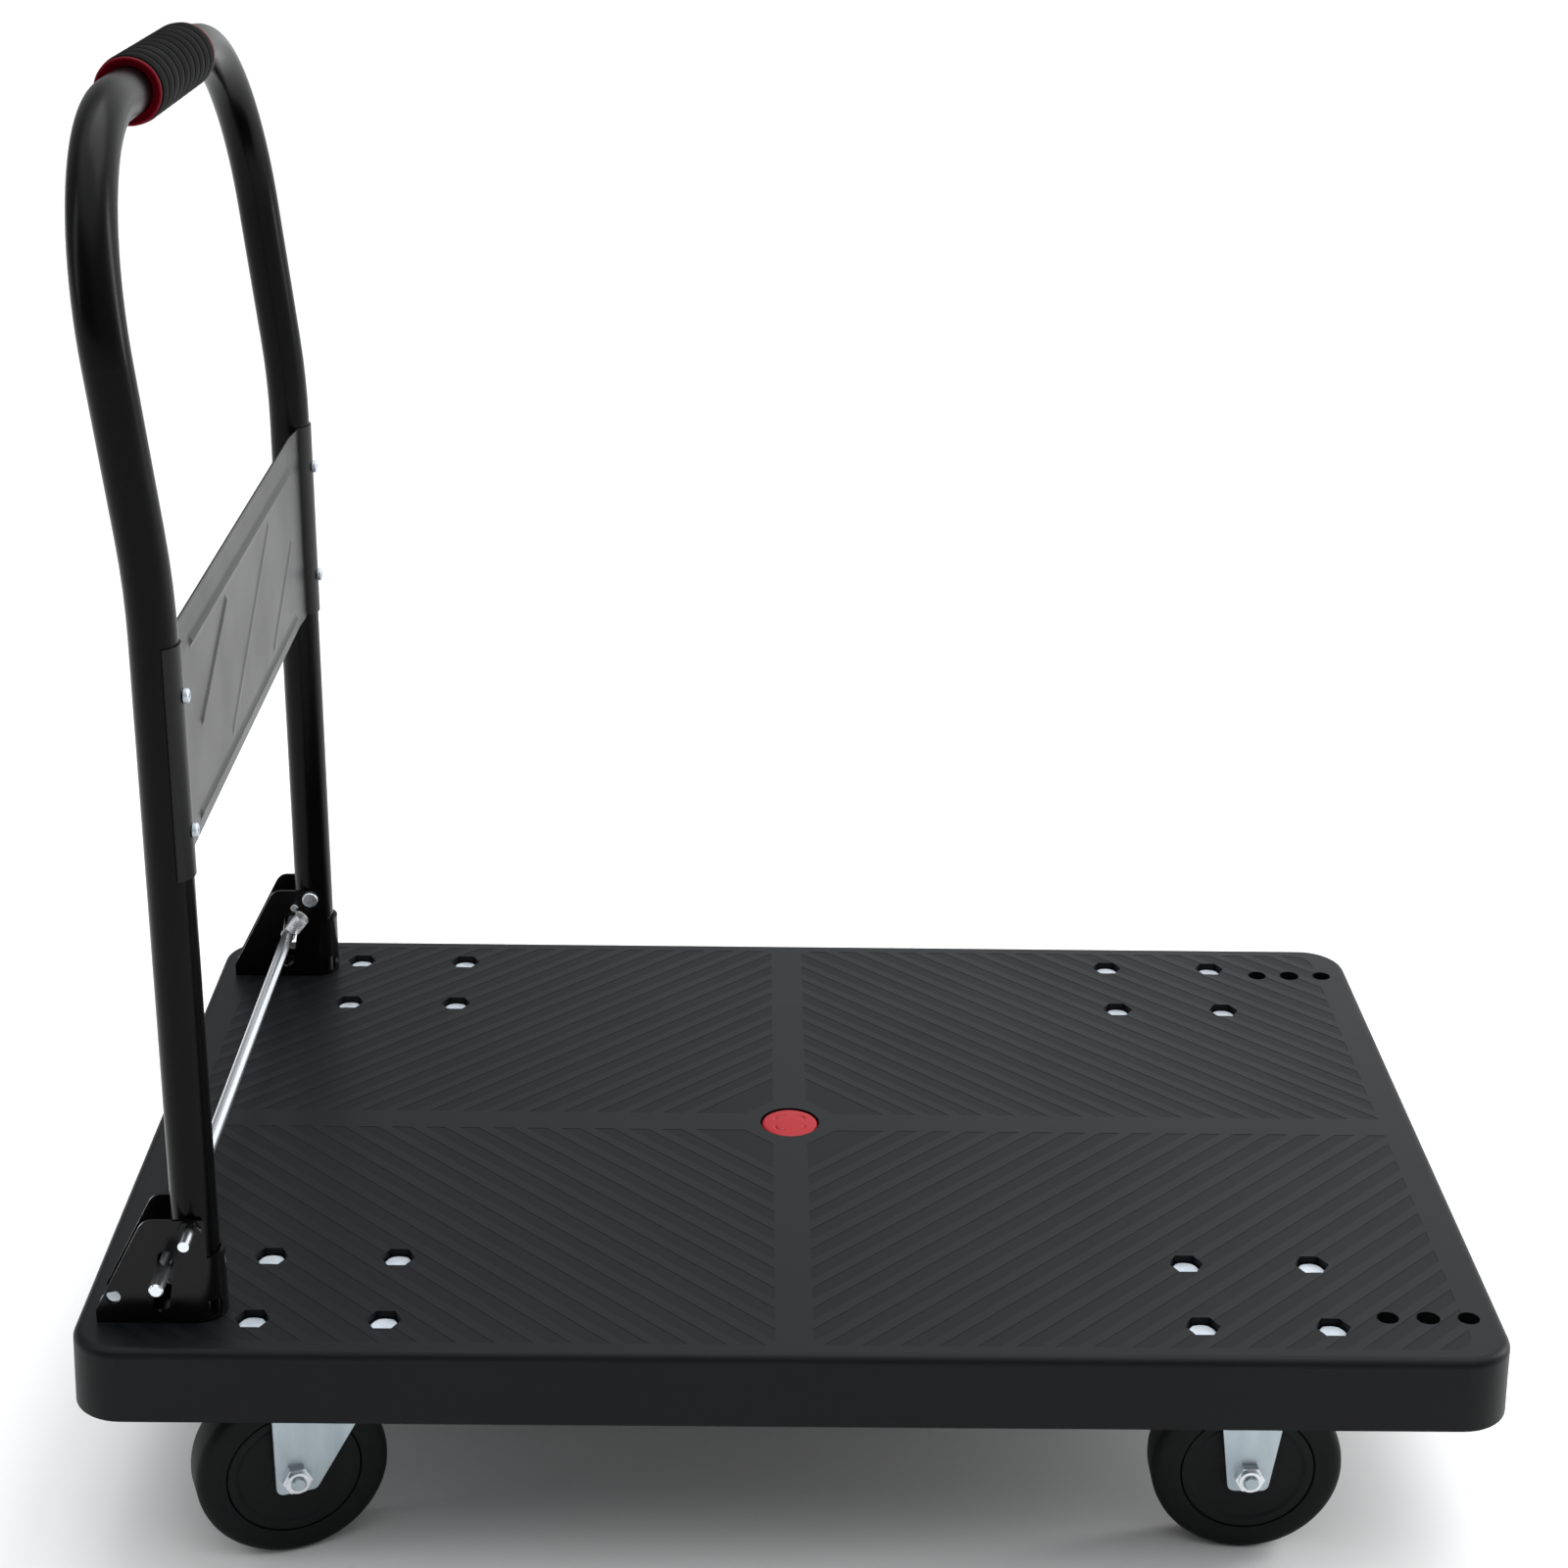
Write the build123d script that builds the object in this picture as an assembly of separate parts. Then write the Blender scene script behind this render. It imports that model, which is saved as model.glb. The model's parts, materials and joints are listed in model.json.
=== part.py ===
"""Flatbed platform truck: plastic deck on four casters, with a folding tube handle.

Millimetres. X runs along the deck (the handle end is -X), Y across it, Z up.
The origin is on the floor, under the middle of the deck.
"""
import os
from math import cos, radians, sin, sqrt, tan

from build123d import *

# ---- deck -------------------------------------------------------------------
deck_length = 904.0
deck_width = 604.0
rib_depth = 31.0
skirt_depth = 50.0
skirt_draft = 2.0
deck_corner_radius = 34.0
deck_edge_radius = 6.0
deck_wall = 4.0
deck_skin = 4.5
rib_thickness = 3.0
ribs_along = 9
ribs_across = 5
boss_wall = 3.0
tread_border_x = 27.0
tread_border_y = 15.0
tread_corner = 16.0
tread_cross = 24.0
groove_pitch = 24.0
groove_width = 14.0
groove_start = 89.0
groove_centre_start = 44.0
groove_centre_end = 79.0
groove_depth = 0.15
cap_diameter = 40.5
cap_thickness = 5.5
cap_stem_diameter = 11.6
cap_stem_length = 16.0
cap_gap = 0.8
cap_edge_radius = 1.2
cap_slot_width = 2.0
cap_slot_start = 5.0

# ---- caster mounting --------------------------------------------------------
caster_inset_x = 153.1
caster_inset_y = 77.5
bolt_spacing_x = 82.5
bolt_spacing_y = 74.5
caster_bolt_diameter = 10.0
bolt_head_across = 17.0
bolt_head_height = 6.4
head_chamfer = 0.6
head_cone_slope = 2.0
pocket_across = 19.8
pocket_depth = 11.0
bolt_clearance = 0.5
washer_diameter = 20.0
washer_thickness = 2.0
nut_across = 17.0
nut_height = 6.5
bolt_tail = 1.0

# ---- casters ----------------------------------------------------------------
wheel_diameter = 125.0
wheel_width = 34.0
hub_diameter = 88.0
tyre_shoulder = 7.0
caster_headroom = 30.0
plate_length = 106.0
plate_width = 96.0
plate_thickness = 3.0
plate_corner = 8.0
fork_side_gap = 2.0
fork_steel = 2.5
foot_half = 13.0
foot_drop = 12.0
foot_corner = 5.0
foot_rake = 0.5
fixed_fork_top = 50.0
hub_boss_diameter = 30.0
hub_boss_step = 2.0
hub_rim = 5.0
hub_dish_depth = 2.5
hub_end_gap = 0.5
axle_diameter = 10.0
axle_nut_height = 8.0
axle_nut_collar = 2.5
axle_tip = 2.0
axle_collar_step = 1.0
axle_chamfer = 1.0
bush_diameter = 14.0
bearing_clearance = 0.05
swivel_trail = 30.0
swivel_rest_angle = 20.0
race_radius = 27.0
ball_diameter = 6.0
balls_per_race = 16
crown_radius = 35.0
crown_steel = 3.5
king_pin_diameter = 12.0
king_pin_head = 20.0
king_pin_head_height = 4.0
race_clearance = 0.1
race_hole_radius = 12.0
race_lip_gap = 0.5
crown_edge = 3.0
leg_top_height = 12.0
crown_drop = 10.5
king_pin_gap = 0.3

# ---- handle brackets --------------------------------------------------------
bracket_inset = 51.5
pivot_inset = 78.0
pivot_height = 67.0
bracket_steel = 2.4
bracket_side_gap = 0.6
bracket_above_pivot = 6.0
bracket_rear = 62.0
bracket_flat_start = 26.0
bracket_heel_height = 9.0
bracket_corner = 6.0
bracket_top_radius = 10.0
web_height = 45.0
web_notch_height = 14.0
web_notch_width = 9.5
web_notch_turn = 45.0
bracket_bolt_pitch = 25.8
bracket_bolt_inset = 49.1
bracket_bolt_diameter = 10.0
bracket_head_across = 16.0
bracket_head_height = 4.5
bracket_hole_diameter = 14.0
bracket_middle_hole = 15.0
sight_hole_diameter = 9.0
sight_hole_height = 18.5
sight_hole_from_rear = 11.5

# ---- handle -----------------------------------------------------------------
tube_diameter = 28.6
tube_wall = 1.5
tube_foot = 20.0
loop_top_height = 731.0
loop_corner_radius = 126.0
loop_bent_length = 286.0
loop_bend_angle = 6.4
loop_bend_radius = 560.0
grip_corner_gap = 36.5
grip_diameter = 42.0
grip_clearance = 0.1
grip_grooves = 9
grip_groove_depth = 1.4
grip_groove_width = 1.8
grip_edge_round = 1.0
grip_ring_diameter = 40.5
grip_ring_length = 5.0
ring_floor = 1.0
ring_floor_gap = 0.6
ring_lip = 1.2
pin_diameter = 7.0
pin_clearance = 0.1
pin_head_diameter = 12.0
pin_head_height = 4.5
pin_head_round = 1.0
pin_nut_across = 13.0
pin_nut_height = 3.5
pin_tail = 20.5

# ---- infill panel -----------------------------------------------------------
panel_below_bend = 2.0
panel_height = 144.0
panel_steel = 1.2
panel_offset = 8.5
panel_wrap_outer = 62.0
panel_clearance = 0.1
panel_screw_insets = (28.0, 112.0)
screw_head_diameter = 9.0
screw_head_height = 3.0
screw_head_round = 1.4
screw_shank_diameter = 4.0
screw_length = 9.0
screw_cross_length = 4.6
screw_cross_width = 1.1
screw_cross_depth = 1.2

# ---- latch ------------------------------------------------------------------
rod_diameter = 9.0
rod_chamfer = 0.8
rod_setback = 17.0
rod_height = 40.5
rod_overhang = 28.5
slot_clearance = 0.8
slot_lean = 8.0
slot_above_rod = 6.0
latch_travel = 26.0
latch_end_gap = 1.5
spring_diameter = 13.0
spring_wire = 1.3
spring_turns = 9
spring_inset = 11.0
spring_start = 7.5
spring_aim_back = 1.0
spring_aim_below = 5.0
spring_pitch_gap = 0.1
spring_loop_gap = 0.3
spring_post_diameter = 3.4
spring_post_reach = 14.0
spring_post_gap = 0.6

# ---- worked out from the above ----------------------------------------------
mount_z = wheel_diameter + caster_headroom
deck_top = mount_z + rib_depth
caster_offset_x = deck_length / 2 - caster_inset_x
caster_offset_y = deck_width / 2 - caster_inset_y
pivot_x = pivot_inset - deck_length / 2
bracket_height = pivot_height + bracket_above_pivot
bracket_y = deck_width / 2 - bracket_inset
bracket_bolt_middle_x = deck_length / 2 - bracket_bolt_inset
rod_x = pivot_x - rod_setback
fork_gap = wheel_width + 2 * fork_side_gap
loop_bend_height = loop_top_height - loop_bent_length
panel_top_height = loop_bend_height - panel_below_bend
grip_length = 2 * (bracket_y - loop_corner_radius - grip_corner_gap)
panel_bottom_height = panel_top_height - panel_height
panel_screw_heights = [panel_bottom_height + inset for inset in panel_screw_insets]
pocket_floor = deck_top - pocket_depth
axle_z = wheel_diameter / 2
tube_radius = tube_diameter / 2
bracket_half = tube_radius + bracket_side_gap + bracket_steel
bracket_inner = tube_radius + bracket_side_gap
pivot_z = deck_top + pivot_height
rod_z = deck_top + rod_height
rod_half = bracket_y + bracket_half + rod_overhang
fork_outer = fork_gap / 2 + fork_steel
caster_spots = {
    "front_left": (caster_offset_x, caster_offset_y),
    "front_right": (caster_offset_x, -caster_offset_y),
    "rear_left": (-caster_offset_x, caster_offset_y),
    "rear_right": (-caster_offset_x, -caster_offset_y),
}
caster_bolt_spots = [
    (x + i * bolt_spacing_x / 2, y + j * bolt_spacing_y / 2)
    for x, y in caster_spots.values()
    for i in (-1, 1)
    for j in (-1, 1)
]
bracket_bolt_xs = [bracket_bolt_middle_x + n * bracket_bolt_pitch for n in (-1, 0, 1)]

bottom = (Align.CENTER, Align.CENTER, Align.MIN)


def rod_z_axis(radius, z0, z1, x=0.0, y=0.0):
    """An upright round bar from z0 to z1."""
    return Pos(x, y, z0) * Cylinder(radius, z1 - z0, align=bottom)


def rod_y_axis(radius, y0, y1, x=0.0, z=0.0):
    """A round bar lying along Y from y0 to y1."""
    return Pos(x, y0, z) * Rot(-90, 0, 0) * Cylinder(radius, y1 - y0, align=bottom)


def rod_x_axis(radius, x0, x1, y=0.0, z=0.0):
    """A round bar lying along X from x0 to x1."""
    return Pos(x0, y, z) * Rot(0, 90, 0) * Cylinder(radius, x1 - x0, align=bottom)


def hex_bar(across, z0, z1, x=0.0, y=0.0):
    """An upright hexagonal bar whose corners point along X."""
    flat = RegularPolygon(across / 2, 6, major_radius=False, rotation=0)
    return Pos(x, y, z0) * extrude(flat, z1 - z0)


def hex_head(across, z0, z1):
    """A hexagonal head with its top corners turned off."""
    low_radius = across / 2 + (z1 - z0) * head_cone_slope
    cone = Pos(0, 0, z0) * Cone(low_radius, across / 2 - head_chamfer, z1 - z0, align=bottom)
    return hex_bar(across, z0, z1) & cone


def slab(x0, x1, y0, y1, z0, z1):
    """A block between two corners."""
    middle = Pos((x0 + x1) / 2, (y0 + y1) / 2, (z0 + z1) / 2)
    return middle * Box(x1 - x0, y1 - y0, z1 - z0)


def group(solids):
    """Several separate solids kept in one node."""
    flat = []
    for item in solids:
        flat += list(item.solids())
    return Compound(children=flat)


def save(shape, name):
    """Write one node's file."""
    export_step(shape, f"parts/{name}.step")


# ---- deck -------------------------------------------------------------------
def deck_shell():
    """The moulding's outside: a tapered slab with round corners and a rounded top edge."""
    shrink = skirt_depth * tan(radians(skirt_draft))
    face = RectangleRounded(deck_length, deck_width, deck_corner_radius)
    outer = Pos(0, 0, deck_top - skirt_depth) * extrude(face, skirt_depth, taper=skirt_draft)
    outer = fillet(outer.faces().sort_by(Axis.Z)[-1].edges(), deck_edge_radius)
    hollow_face = RectangleRounded(
        deck_length - 2 * deck_wall,
        deck_width - 2 * deck_wall,
        deck_corner_radius - deck_wall,
    )
    hollow_height = skirt_depth - deck_skin
    hollow = Pos(0, 0, deck_top - skirt_depth) * extrude(hollow_face, hollow_height, taper=skirt_draft)
    return outer, hollow, shrink


def deck_ribs(shrink):
    """The grid of ribs under the skin."""
    reach_x = deck_length / 2 - shrink - deck_wall / 2
    reach_y = deck_width / 2 - shrink - deck_wall / 2
    z1 = deck_top - deck_skin / 2
    bars = []
    for n in range(ribs_along):
        x = (n - (ribs_along - 1) / 2) * deck_length / (ribs_along + 1)
        bars.append(slab(x - rib_thickness / 2, x + rib_thickness / 2, -reach_y, reach_y, mount_z, z1))
    for n in range(ribs_across):
        y = (n - (ribs_across - 1) / 2) * deck_width / (ribs_across + 1)
        bars.append(slab(-reach_x, reach_x, y - rib_thickness / 2, y + rib_thickness / 2, mount_z, z1))
    return bars


def tread_grooves():
    """Shallow slanting grooves in the top, in four quarters; |x| + |y| stays the same along each."""
    reach = deck_length + deck_width
    spans = [(groove_centre_start, groove_centre_end)]
    start = groove_start
    while start + groove_width < reach / 2:
        spans.append((start, start + groove_width))
        start += groove_pitch
    stripes = Sketch()
    for near, far in spans:
        across = Rectangle((far - near) / sqrt(2), reach)
        stripes += Rot(0, 0, 45) * Pos((near + far) / 2 / sqrt(2), 0) * across
    low = tread_cross / 2
    size_x = deck_length / 2 - tread_border_x - low
    size_y = deck_width / 2 - tread_border_y - low
    field = Pos(low, low) * Rectangle(size_x, size_y, align=(Align.MIN, Align.MIN))
    field = fillet(field.vertices().sort_by(lambda v: v.X + v.Y)[-1], tread_corner)
    quarter = Pos(0, 0, deck_top - groove_depth) * extrude(stripes & field, 2 * groove_depth)
    half = quarter + mirror(quarter, about=Plane.YZ)
    return half + mirror(half, about=Plane.XZ)


def make_deck():
    """Deck moulding with ribs, bolt bosses, hex pockets and bracket holes."""
    outer, hollow, shrink = deck_shell()
    z1 = deck_top - deck_skin / 2
    pocket_corner = pocket_across / 2 / cos(radians(30))
    adds = deck_ribs(shrink)
    cuts = []
    for x, y in caster_bolt_spots:
        adds.append(rod_z_axis(pocket_corner + boss_wall, mount_z, z1, x, y))
        cuts.append(hex_bar(pocket_across, pocket_floor, deck_top + 1, x, y))
        cuts.append(rod_z_axis((caster_bolt_diameter + bolt_clearance) / 2, mount_z - 1, deck_top, x, y))
    for side in (-1, 1):
        for end in (-1, 1):
            for n, bolt_x in enumerate(bracket_bolt_xs):
                hole = bracket_middle_hole if n == 1 else bracket_hole_diameter
                x = end * bolt_x
                y = side * bracket_y
                adds.append(rod_z_axis(hole / 2 + boss_wall, mount_z, z1, x, y))
                cuts.append(rod_z_axis(hole / 2, mount_z - 1, deck_top + 1, x, y))
    recess = cap_diameter / 2 + cap_gap
    adds.append(rod_z_axis(recess + boss_wall, mount_z, z1))
    cuts.append(rod_z_axis(recess, deck_top - cap_thickness, deck_top + 1))
    cuts.append(rod_z_axis(cap_stem_diameter / 2 + bearing_clearance, mount_z - 1, deck_top))
    deck = (outer - hollow - tread_grooves()) + adds
    return deck - cuts


def make_cap():
    """Round press-in cap at the middle of the deck, with a slightly domed face."""
    disc = rod_z_axis(cap_diameter / 2, deck_top - cap_thickness, deck_top)
    disc = fillet(disc.edges().filter_by(GeomType.CIRCLE).sort_by(Axis.Z)[-1], cap_edge_radius)
    stem_top = deck_top - cap_thickness
    stem_low = stem_top - cap_stem_length
    stem = rod_z_axis(cap_stem_diameter / 2, stem_low, stem_top)
    half = cap_slot_width / 2
    slot = slab(-half, half, -cap_diameter, cap_diameter, stem_low - 1, stem_top - cap_slot_start)
    return disc + stem - slot


# ---- bolts ------------------------------------------------------------------
def hex_bolt(diameter, across, head_height, head_z, length):
    """Hex bolt hanging down from the underside of its head at head_z."""
    head = hex_head(across, head_z, head_z + head_height)
    shank = rod_z_axis(diameter / 2, head_z - length, head_z)
    return head + shank


def washer(diameter, z0):
    """Plain washer standing on z0."""
    ring = rod_z_axis(washer_diameter / 2, z0, z0 + washer_thickness)
    return ring - rod_z_axis((diameter + bolt_clearance) / 2, z0 - 1, z0 + washer_thickness + 1)


def nut(diameter, z1):
    """Hex nut hanging down from z1."""
    body = hex_bar(nut_across, z1 - nut_height, z1)
    return body - rod_z_axis(diameter / 2, z1 - nut_height - 1, z1 + 1)


def make_caster_fasteners():
    """Sixteen bolts, washers and nuts that hold the casters."""
    washer_z = mount_z - plate_thickness - washer_thickness
    length = pocket_floor - washer_z + nut_height + bolt_tail
    bolt = hex_bolt(caster_bolt_diameter, bolt_head_across, bolt_head_height, pocket_floor, length)
    ring = washer(caster_bolt_diameter, washer_z)
    lock = nut(caster_bolt_diameter, washer_z)
    save(group([Pos(x, y, 0) * bolt for x, y in caster_bolt_spots]), "caster_bolts")
    save(group([Pos(x, y, 0) * ring for x, y in caster_bolt_spots]), "caster_washers")
    save(group([Pos(x, y, 0) * lock for x, y in caster_bolt_spots]), "caster_nuts")


def make_bracket_fasteners():
    """Four bolts, washers and nuts in the end holes of the two handle brackets."""
    head_z = deck_top + bracket_steel
    washer_z = mount_z - washer_thickness
    length = head_z - washer_z + nut_height + bolt_tail
    bolt = hex_bolt(bracket_bolt_diameter, bracket_head_across, bracket_head_height, head_z, length)
    ring = washer(bracket_bolt_diameter, washer_z)
    lock = nut(bracket_bolt_diameter, washer_z)
    bolt = Rot(0, 0, 30) * bolt
    spots = [(-x, side * bracket_y) for side in (-1, 1) for x in bracket_bolt_xs[::2]]
    save(group([Pos(x, y, 0) * bolt for x, y in spots]), "bracket_bolts")
    save(group([Pos(x, y, 0) * ring for x, y in spots]), "bracket_washers")
    save(group([Pos(x, y, 0) * lock for x, y in spots]), "bracket_nuts")


# ---- handle brackets --------------------------------------------------------
def slot_point(drop):
    """Centre of the latch rod after it has moved down its slot by drop."""
    lean = radians(slot_lean)
    return rod_x - drop * sin(lean), rod_z - drop * cos(lean)


def slot_cut():
    """The slanted slot that the latch rod runs in, cut right across one bracket."""
    radius = rod_diameter / 2 + slot_clearance
    top_x, top_z = slot_point(-slot_above_rod)
    low_x, low_z = slot_point(latch_travel + latch_end_gap)
    reach = bracket_half + 1
    length = slot_above_rod + latch_travel + latch_end_gap
    middle = Pos((top_x + low_x) / 2, 0, (top_z + low_z) / 2) * Rot(0, slot_lean, 0)
    ends = rod_y_axis(radius, -reach, reach, top_x, top_z)
    ends += rod_y_axis(radius, -reach, reach, low_x, low_z)
    return ends + middle * Box(2 * radius, 2 * reach, length)


def bracket_profile():
    """Side view of the bracket: slanted rear edge, flat top and a rounded front."""
    rear = pivot_x - bracket_rear
    front = pivot_x + bracket_half
    top = deck_top + bracket_height
    flat_start = pivot_x - bracket_flat_start
    outline = Polyline(
        (rear, deck_top - 1),
        (rear, deck_top + bracket_heel_height),
        (flat_start - bracket_corner / 2, top),
        (front - bracket_corner, top),
        (front + 1, deck_top + web_height),
        (front + 1, deck_top - 1),
        close=True,
    )
    face = make_face(outline)
    corners = face.vertices().sort_by(Axis.Y)[-2:]
    return fillet(corners, bracket_top_radius)


def make_bracket(side):
    """Pressed-steel bracket: two cheeks, a round front web that hugs the tube, and a foot."""
    rear = pivot_x - bracket_rear
    front = pivot_x + bracket_half
    reach = bracket_half + 1
    floor_z = deck_top + bracket_steel
    plan = Rectangle(bracket_rear, 2 * bracket_half, align=(Align.MAX, Align.CENTER))
    plan += Circle(bracket_half)
    hole = Rectangle(bracket_rear + 1, 2 * bracket_inner, align=(Align.MAX, Align.CENTER))
    hole += Circle(bracket_inner)
    tall = Pos(pivot_x, 0, deck_top) * extrude(plan, bracket_height)
    room = Pos(pivot_x, 0, floor_z) * extrude(hole, bracket_height)
    profile = extrude(Plane.XZ * bracket_profile(), reach, both=True)
    web_top = deck_top + web_height
    over_web = slab(pivot_x, front + 1, -bracket_inner, bracket_inner, web_top, web_top + bracket_height)
    notch_half = web_notch_width / 2
    notch = slab(0, reach, -notch_half, notch_half, floor_z, deck_top + web_notch_height)
    pin_hole = rod_y_axis((pin_diameter + pin_clearance) / 2, -reach, reach, pivot_x, pivot_z)
    sight_x = rear + sight_hole_from_rear
    near, far = sorted((0, side * reach))
    sight = rod_y_axis(sight_hole_diameter / 2, near, far, sight_x, deck_top + sight_hole_height)
    shell = ((tall - room) & profile) - over_web - pin_hole - sight - slot_cut()
    for turn in (-web_notch_turn, web_notch_turn):
        shell -= Pos(pivot_x, 0, 0) * Rot(0, 0, turn) * notch
    for x in bracket_bolt_xs:
        shell -= rod_z_axis((bracket_bolt_diameter + bolt_clearance) / 2, deck_top - 1, floor_z + 1, -x)
    post_x, post_z = spring_post_spot()
    low, high = sorted((-side * bracket_inner, -side * reach))
    shell -= rod_y_axis(spring_post_diameter / 2, low, high, post_x, post_z)
    return Pos(0, side * bracket_y, 0) * shell


# ---- pivot pins -------------------------------------------------------------
def make_pivot_pins():
    """Headed pins with the head on the inner cheek and a long tail outside."""
    pins = []
    nuts = []
    for side in (-1, 1):
        inner = -(bracket_half + pin_head_height)
        outer = bracket_half + pin_tail
        pin = rod_y_axis(pin_diameter / 2, -bracket_half, outer, 0, 0)
        head = rod_y_axis(pin_head_diameter / 2, inner, -bracket_half, 0, 0)
        head = fillet(head.edges().filter_by(GeomType.CIRCLE).sort_by(Axis.Y)[0], pin_head_round)
        flat = RegularPolygon(pin_nut_across / 2, 6, major_radius=False)
        hexagon = Pos(0, bracket_half, 0) * Rot(-90, 0, 0) * extrude(flat, pin_nut_height)
        lock = hexagon - rod_y_axis(pin_diameter / 2, 0, outer, 0, 0)
        place = Pos(pivot_x, side * bracket_y, pivot_z) * Rot(0, 0, 0 if side > 0 else 180)
        pins.append(place * (pin + head))
        nuts.append(place * lock)
    save(group(pins), "pivot_pins")
    save(group(nuts), "pivot_pin_nuts")


# ---- handle tube ------------------------------------------------------------
def loop_point(along):
    """Point of the bent side view, at a distance along the post from the deck's top."""
    bend_arc = loop_bend_radius * radians(loop_bend_angle)
    extra = along - loop_bend_height
    if extra <= 0:
        return pivot_x, deck_top + along
    turn = min(extra / loop_bend_radius, radians(loop_bend_angle))
    straight = max(extra - bend_arc, 0)
    x = pivot_x - loop_bend_radius * (1 - cos(turn)) - straight * sin(turn)
    z = deck_top + loop_bend_height + loop_bend_radius * sin(turn) + straight * cos(turn)
    return x, z


def make_tube():
    """Tube loop: posts, a gentle bend backwards, two round corners and the top bar."""
    angle = radians(loop_bend_angle)
    foot_z = pivot_z - tube_foot
    bend_low = (pivot_x, deck_top + loop_bend_height)
    bend_arc = loop_bend_radius * angle
    bend_high = loop_point(loop_bend_height + bend_arc)
    corner_low = loop_point(loop_top_height - loop_corner_radius)
    top = loop_point(loop_top_height)
    inner_y = bracket_y - loop_corner_radius
    corner_mid_y = inner_y + loop_corner_radius * cos(radians(45))
    corner_mid = loop_point(loop_top_height - loop_corner_radius * (1 - sin(radians(45))))
    bend_mid = loop_point(loop_bend_height + bend_arc / 2)
    edges = []
    for side in (1, -1):
        y = side * bracket_y
        edges.append(Line((pivot_x, y, foot_z), (bend_low[0], y, bend_low[1])))
        edges.append(
            ThreePointArc(
                (bend_low[0], y, bend_low[1]),
                (bend_mid[0], y, bend_mid[1]),
                (bend_high[0], y, bend_high[1]),
            )
        )
        edges.append(Line((bend_high[0], y, bend_high[1]), (corner_low[0], y, corner_low[1])))
        edges.append(
            ThreePointArc(
                (corner_low[0], y, corner_low[1]),
                (corner_mid[0], side * corner_mid_y, corner_mid[1]),
                (top[0], side * inner_y, top[1]),
            )
        )
    edges.append(Line((top[0], -inner_y, top[1]), (top[0], inner_y, top[1])))
    path = Wire(edges)
    start = Plane(origin=(pivot_x, bracket_y, foot_z), z_dir=(0, 0, 1))
    outer = sweep(start * Circle(tube_radius), path=path)
    inner = sweep(start * Circle(tube_radius - tube_wall), path=path)
    tube = outer - inner
    for side in (-1, 1):
        y = side * bracket_y
        bore = pin_diameter / 2 + pin_clearance
        tube -= rod_y_axis(bore, y - tube_radius - 1, y + tube_radius + 1, pivot_x, pivot_z)
        for height in panel_screw_heights:
            z = deck_top + height
            tube -= rod_x_axis(screw_shank_diameter / 2, pivot_x, pivot_x + tube_radius + 1, y, z)
    return tube


def make_grip():
    """Rubber sleeve round the top bar, with narrow grooves round it."""
    top_x, top_z = loop_point(loop_top_height)
    half = grip_length / 2 - grip_ring_length
    body = rod_y_axis(grip_diameter / 2, -half, half)
    body = fillet(body.edges().filter_by(GeomType.CIRCLE), grip_edge_round)
    pitch = 2 * half / (grip_grooves + 1)
    for n in range(grip_grooves):
        y = -half + pitch * (n + 1)
        ring = rod_y_axis(grip_diameter / 2 + 1, y - grip_groove_width / 2, y + grip_groove_width / 2)
        core_reach = grip_groove_width / 2 + 1
        core = rod_y_axis(grip_diameter / 2 - grip_groove_depth, y - core_reach, y + core_reach)
        body -= ring - core
    body -= rod_y_axis(tube_radius + grip_clearance, -half - 1, half + 1)
    return Pos(top_x, 0, top_z) * body


def make_grip_rings():
    """Two flared end rings, one at each end of the grip."""
    top_x, top_z = loop_point(loop_top_height)
    half = grip_length / 2
    rings = []
    for side in (-1, 1):
        low, high = sorted((side * (half - grip_ring_length), side * half))
        ring = rod_y_axis(grip_ring_diameter / 2, low, high)
        ring -= rod_y_axis(tube_radius + grip_clearance, low - 1, high + 1)
        deep = grip_ring_length - ring_floor
        mouth = grip_ring_diameter / 2 - ring_lip
        flare = Cone(tube_radius + ring_floor_gap, mouth, deep, align=bottom)
        seat = Pos(0, side * (half - deep), 0) * Rot(-90 * side, 0, 0) * flare
        ring -= seat
        rings.append(Pos(top_x, 0, top_z) * ring)
    return group(rings)


# ---- infill panel -----------------------------------------------------------
def make_panel():
    """Pressed sheet between the posts, wrapped round the front of each post."""
    inner = tube_radius + panel_clearance
    outer = inner + panel_steel
    flat_x = panel_offset
    sheet = Pos(flat_x, 0) * Rectangle(panel_steel, 2 * bracket_y - inner, align=(Align.MIN, Align.CENTER))
    reach = outer * 2
    for side in (-1, 1):
        tip_x = reach * cos(radians(panel_wrap_outer))
        tip_y = side * reach * sin(radians(panel_wrap_outer))
        wedge = make_face(
            Polyline((0, 0), (0, -side * reach), (reach, -side * reach), (reach, tip_y), (tip_x, tip_y), close=True)
        )
        ahead = Pos(flat_x, 0) * Rectangle(reach, 2 * reach, align=(Align.MIN, Align.CENTER))
        away = Rectangle(2 * reach, reach, align=(Align.CENTER, Align.MIN if side > 0 else Align.MAX))
        wrap = (Circle(outer) - Circle(inner)) & wedge & (ahead + away)
        sheet += Pos(0, side * bracket_y) * wrap
        sheet -= Pos(0, side * bracket_y) * Circle(inner)
    body = Pos(pivot_x, 0, deck_top + panel_bottom_height)
    panel = body * extrude(sheet, panel_top_height - panel_bottom_height)
    for side in (-1, 1):
        for height in panel_screw_heights:
            hole = rod_x_axis(
                screw_shank_diameter / 2,
                pivot_x + panel_offset,
                pivot_x + outer + 1,
                side * bracket_y,
                deck_top + height,
            )
            panel -= hole
    return panel


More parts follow.
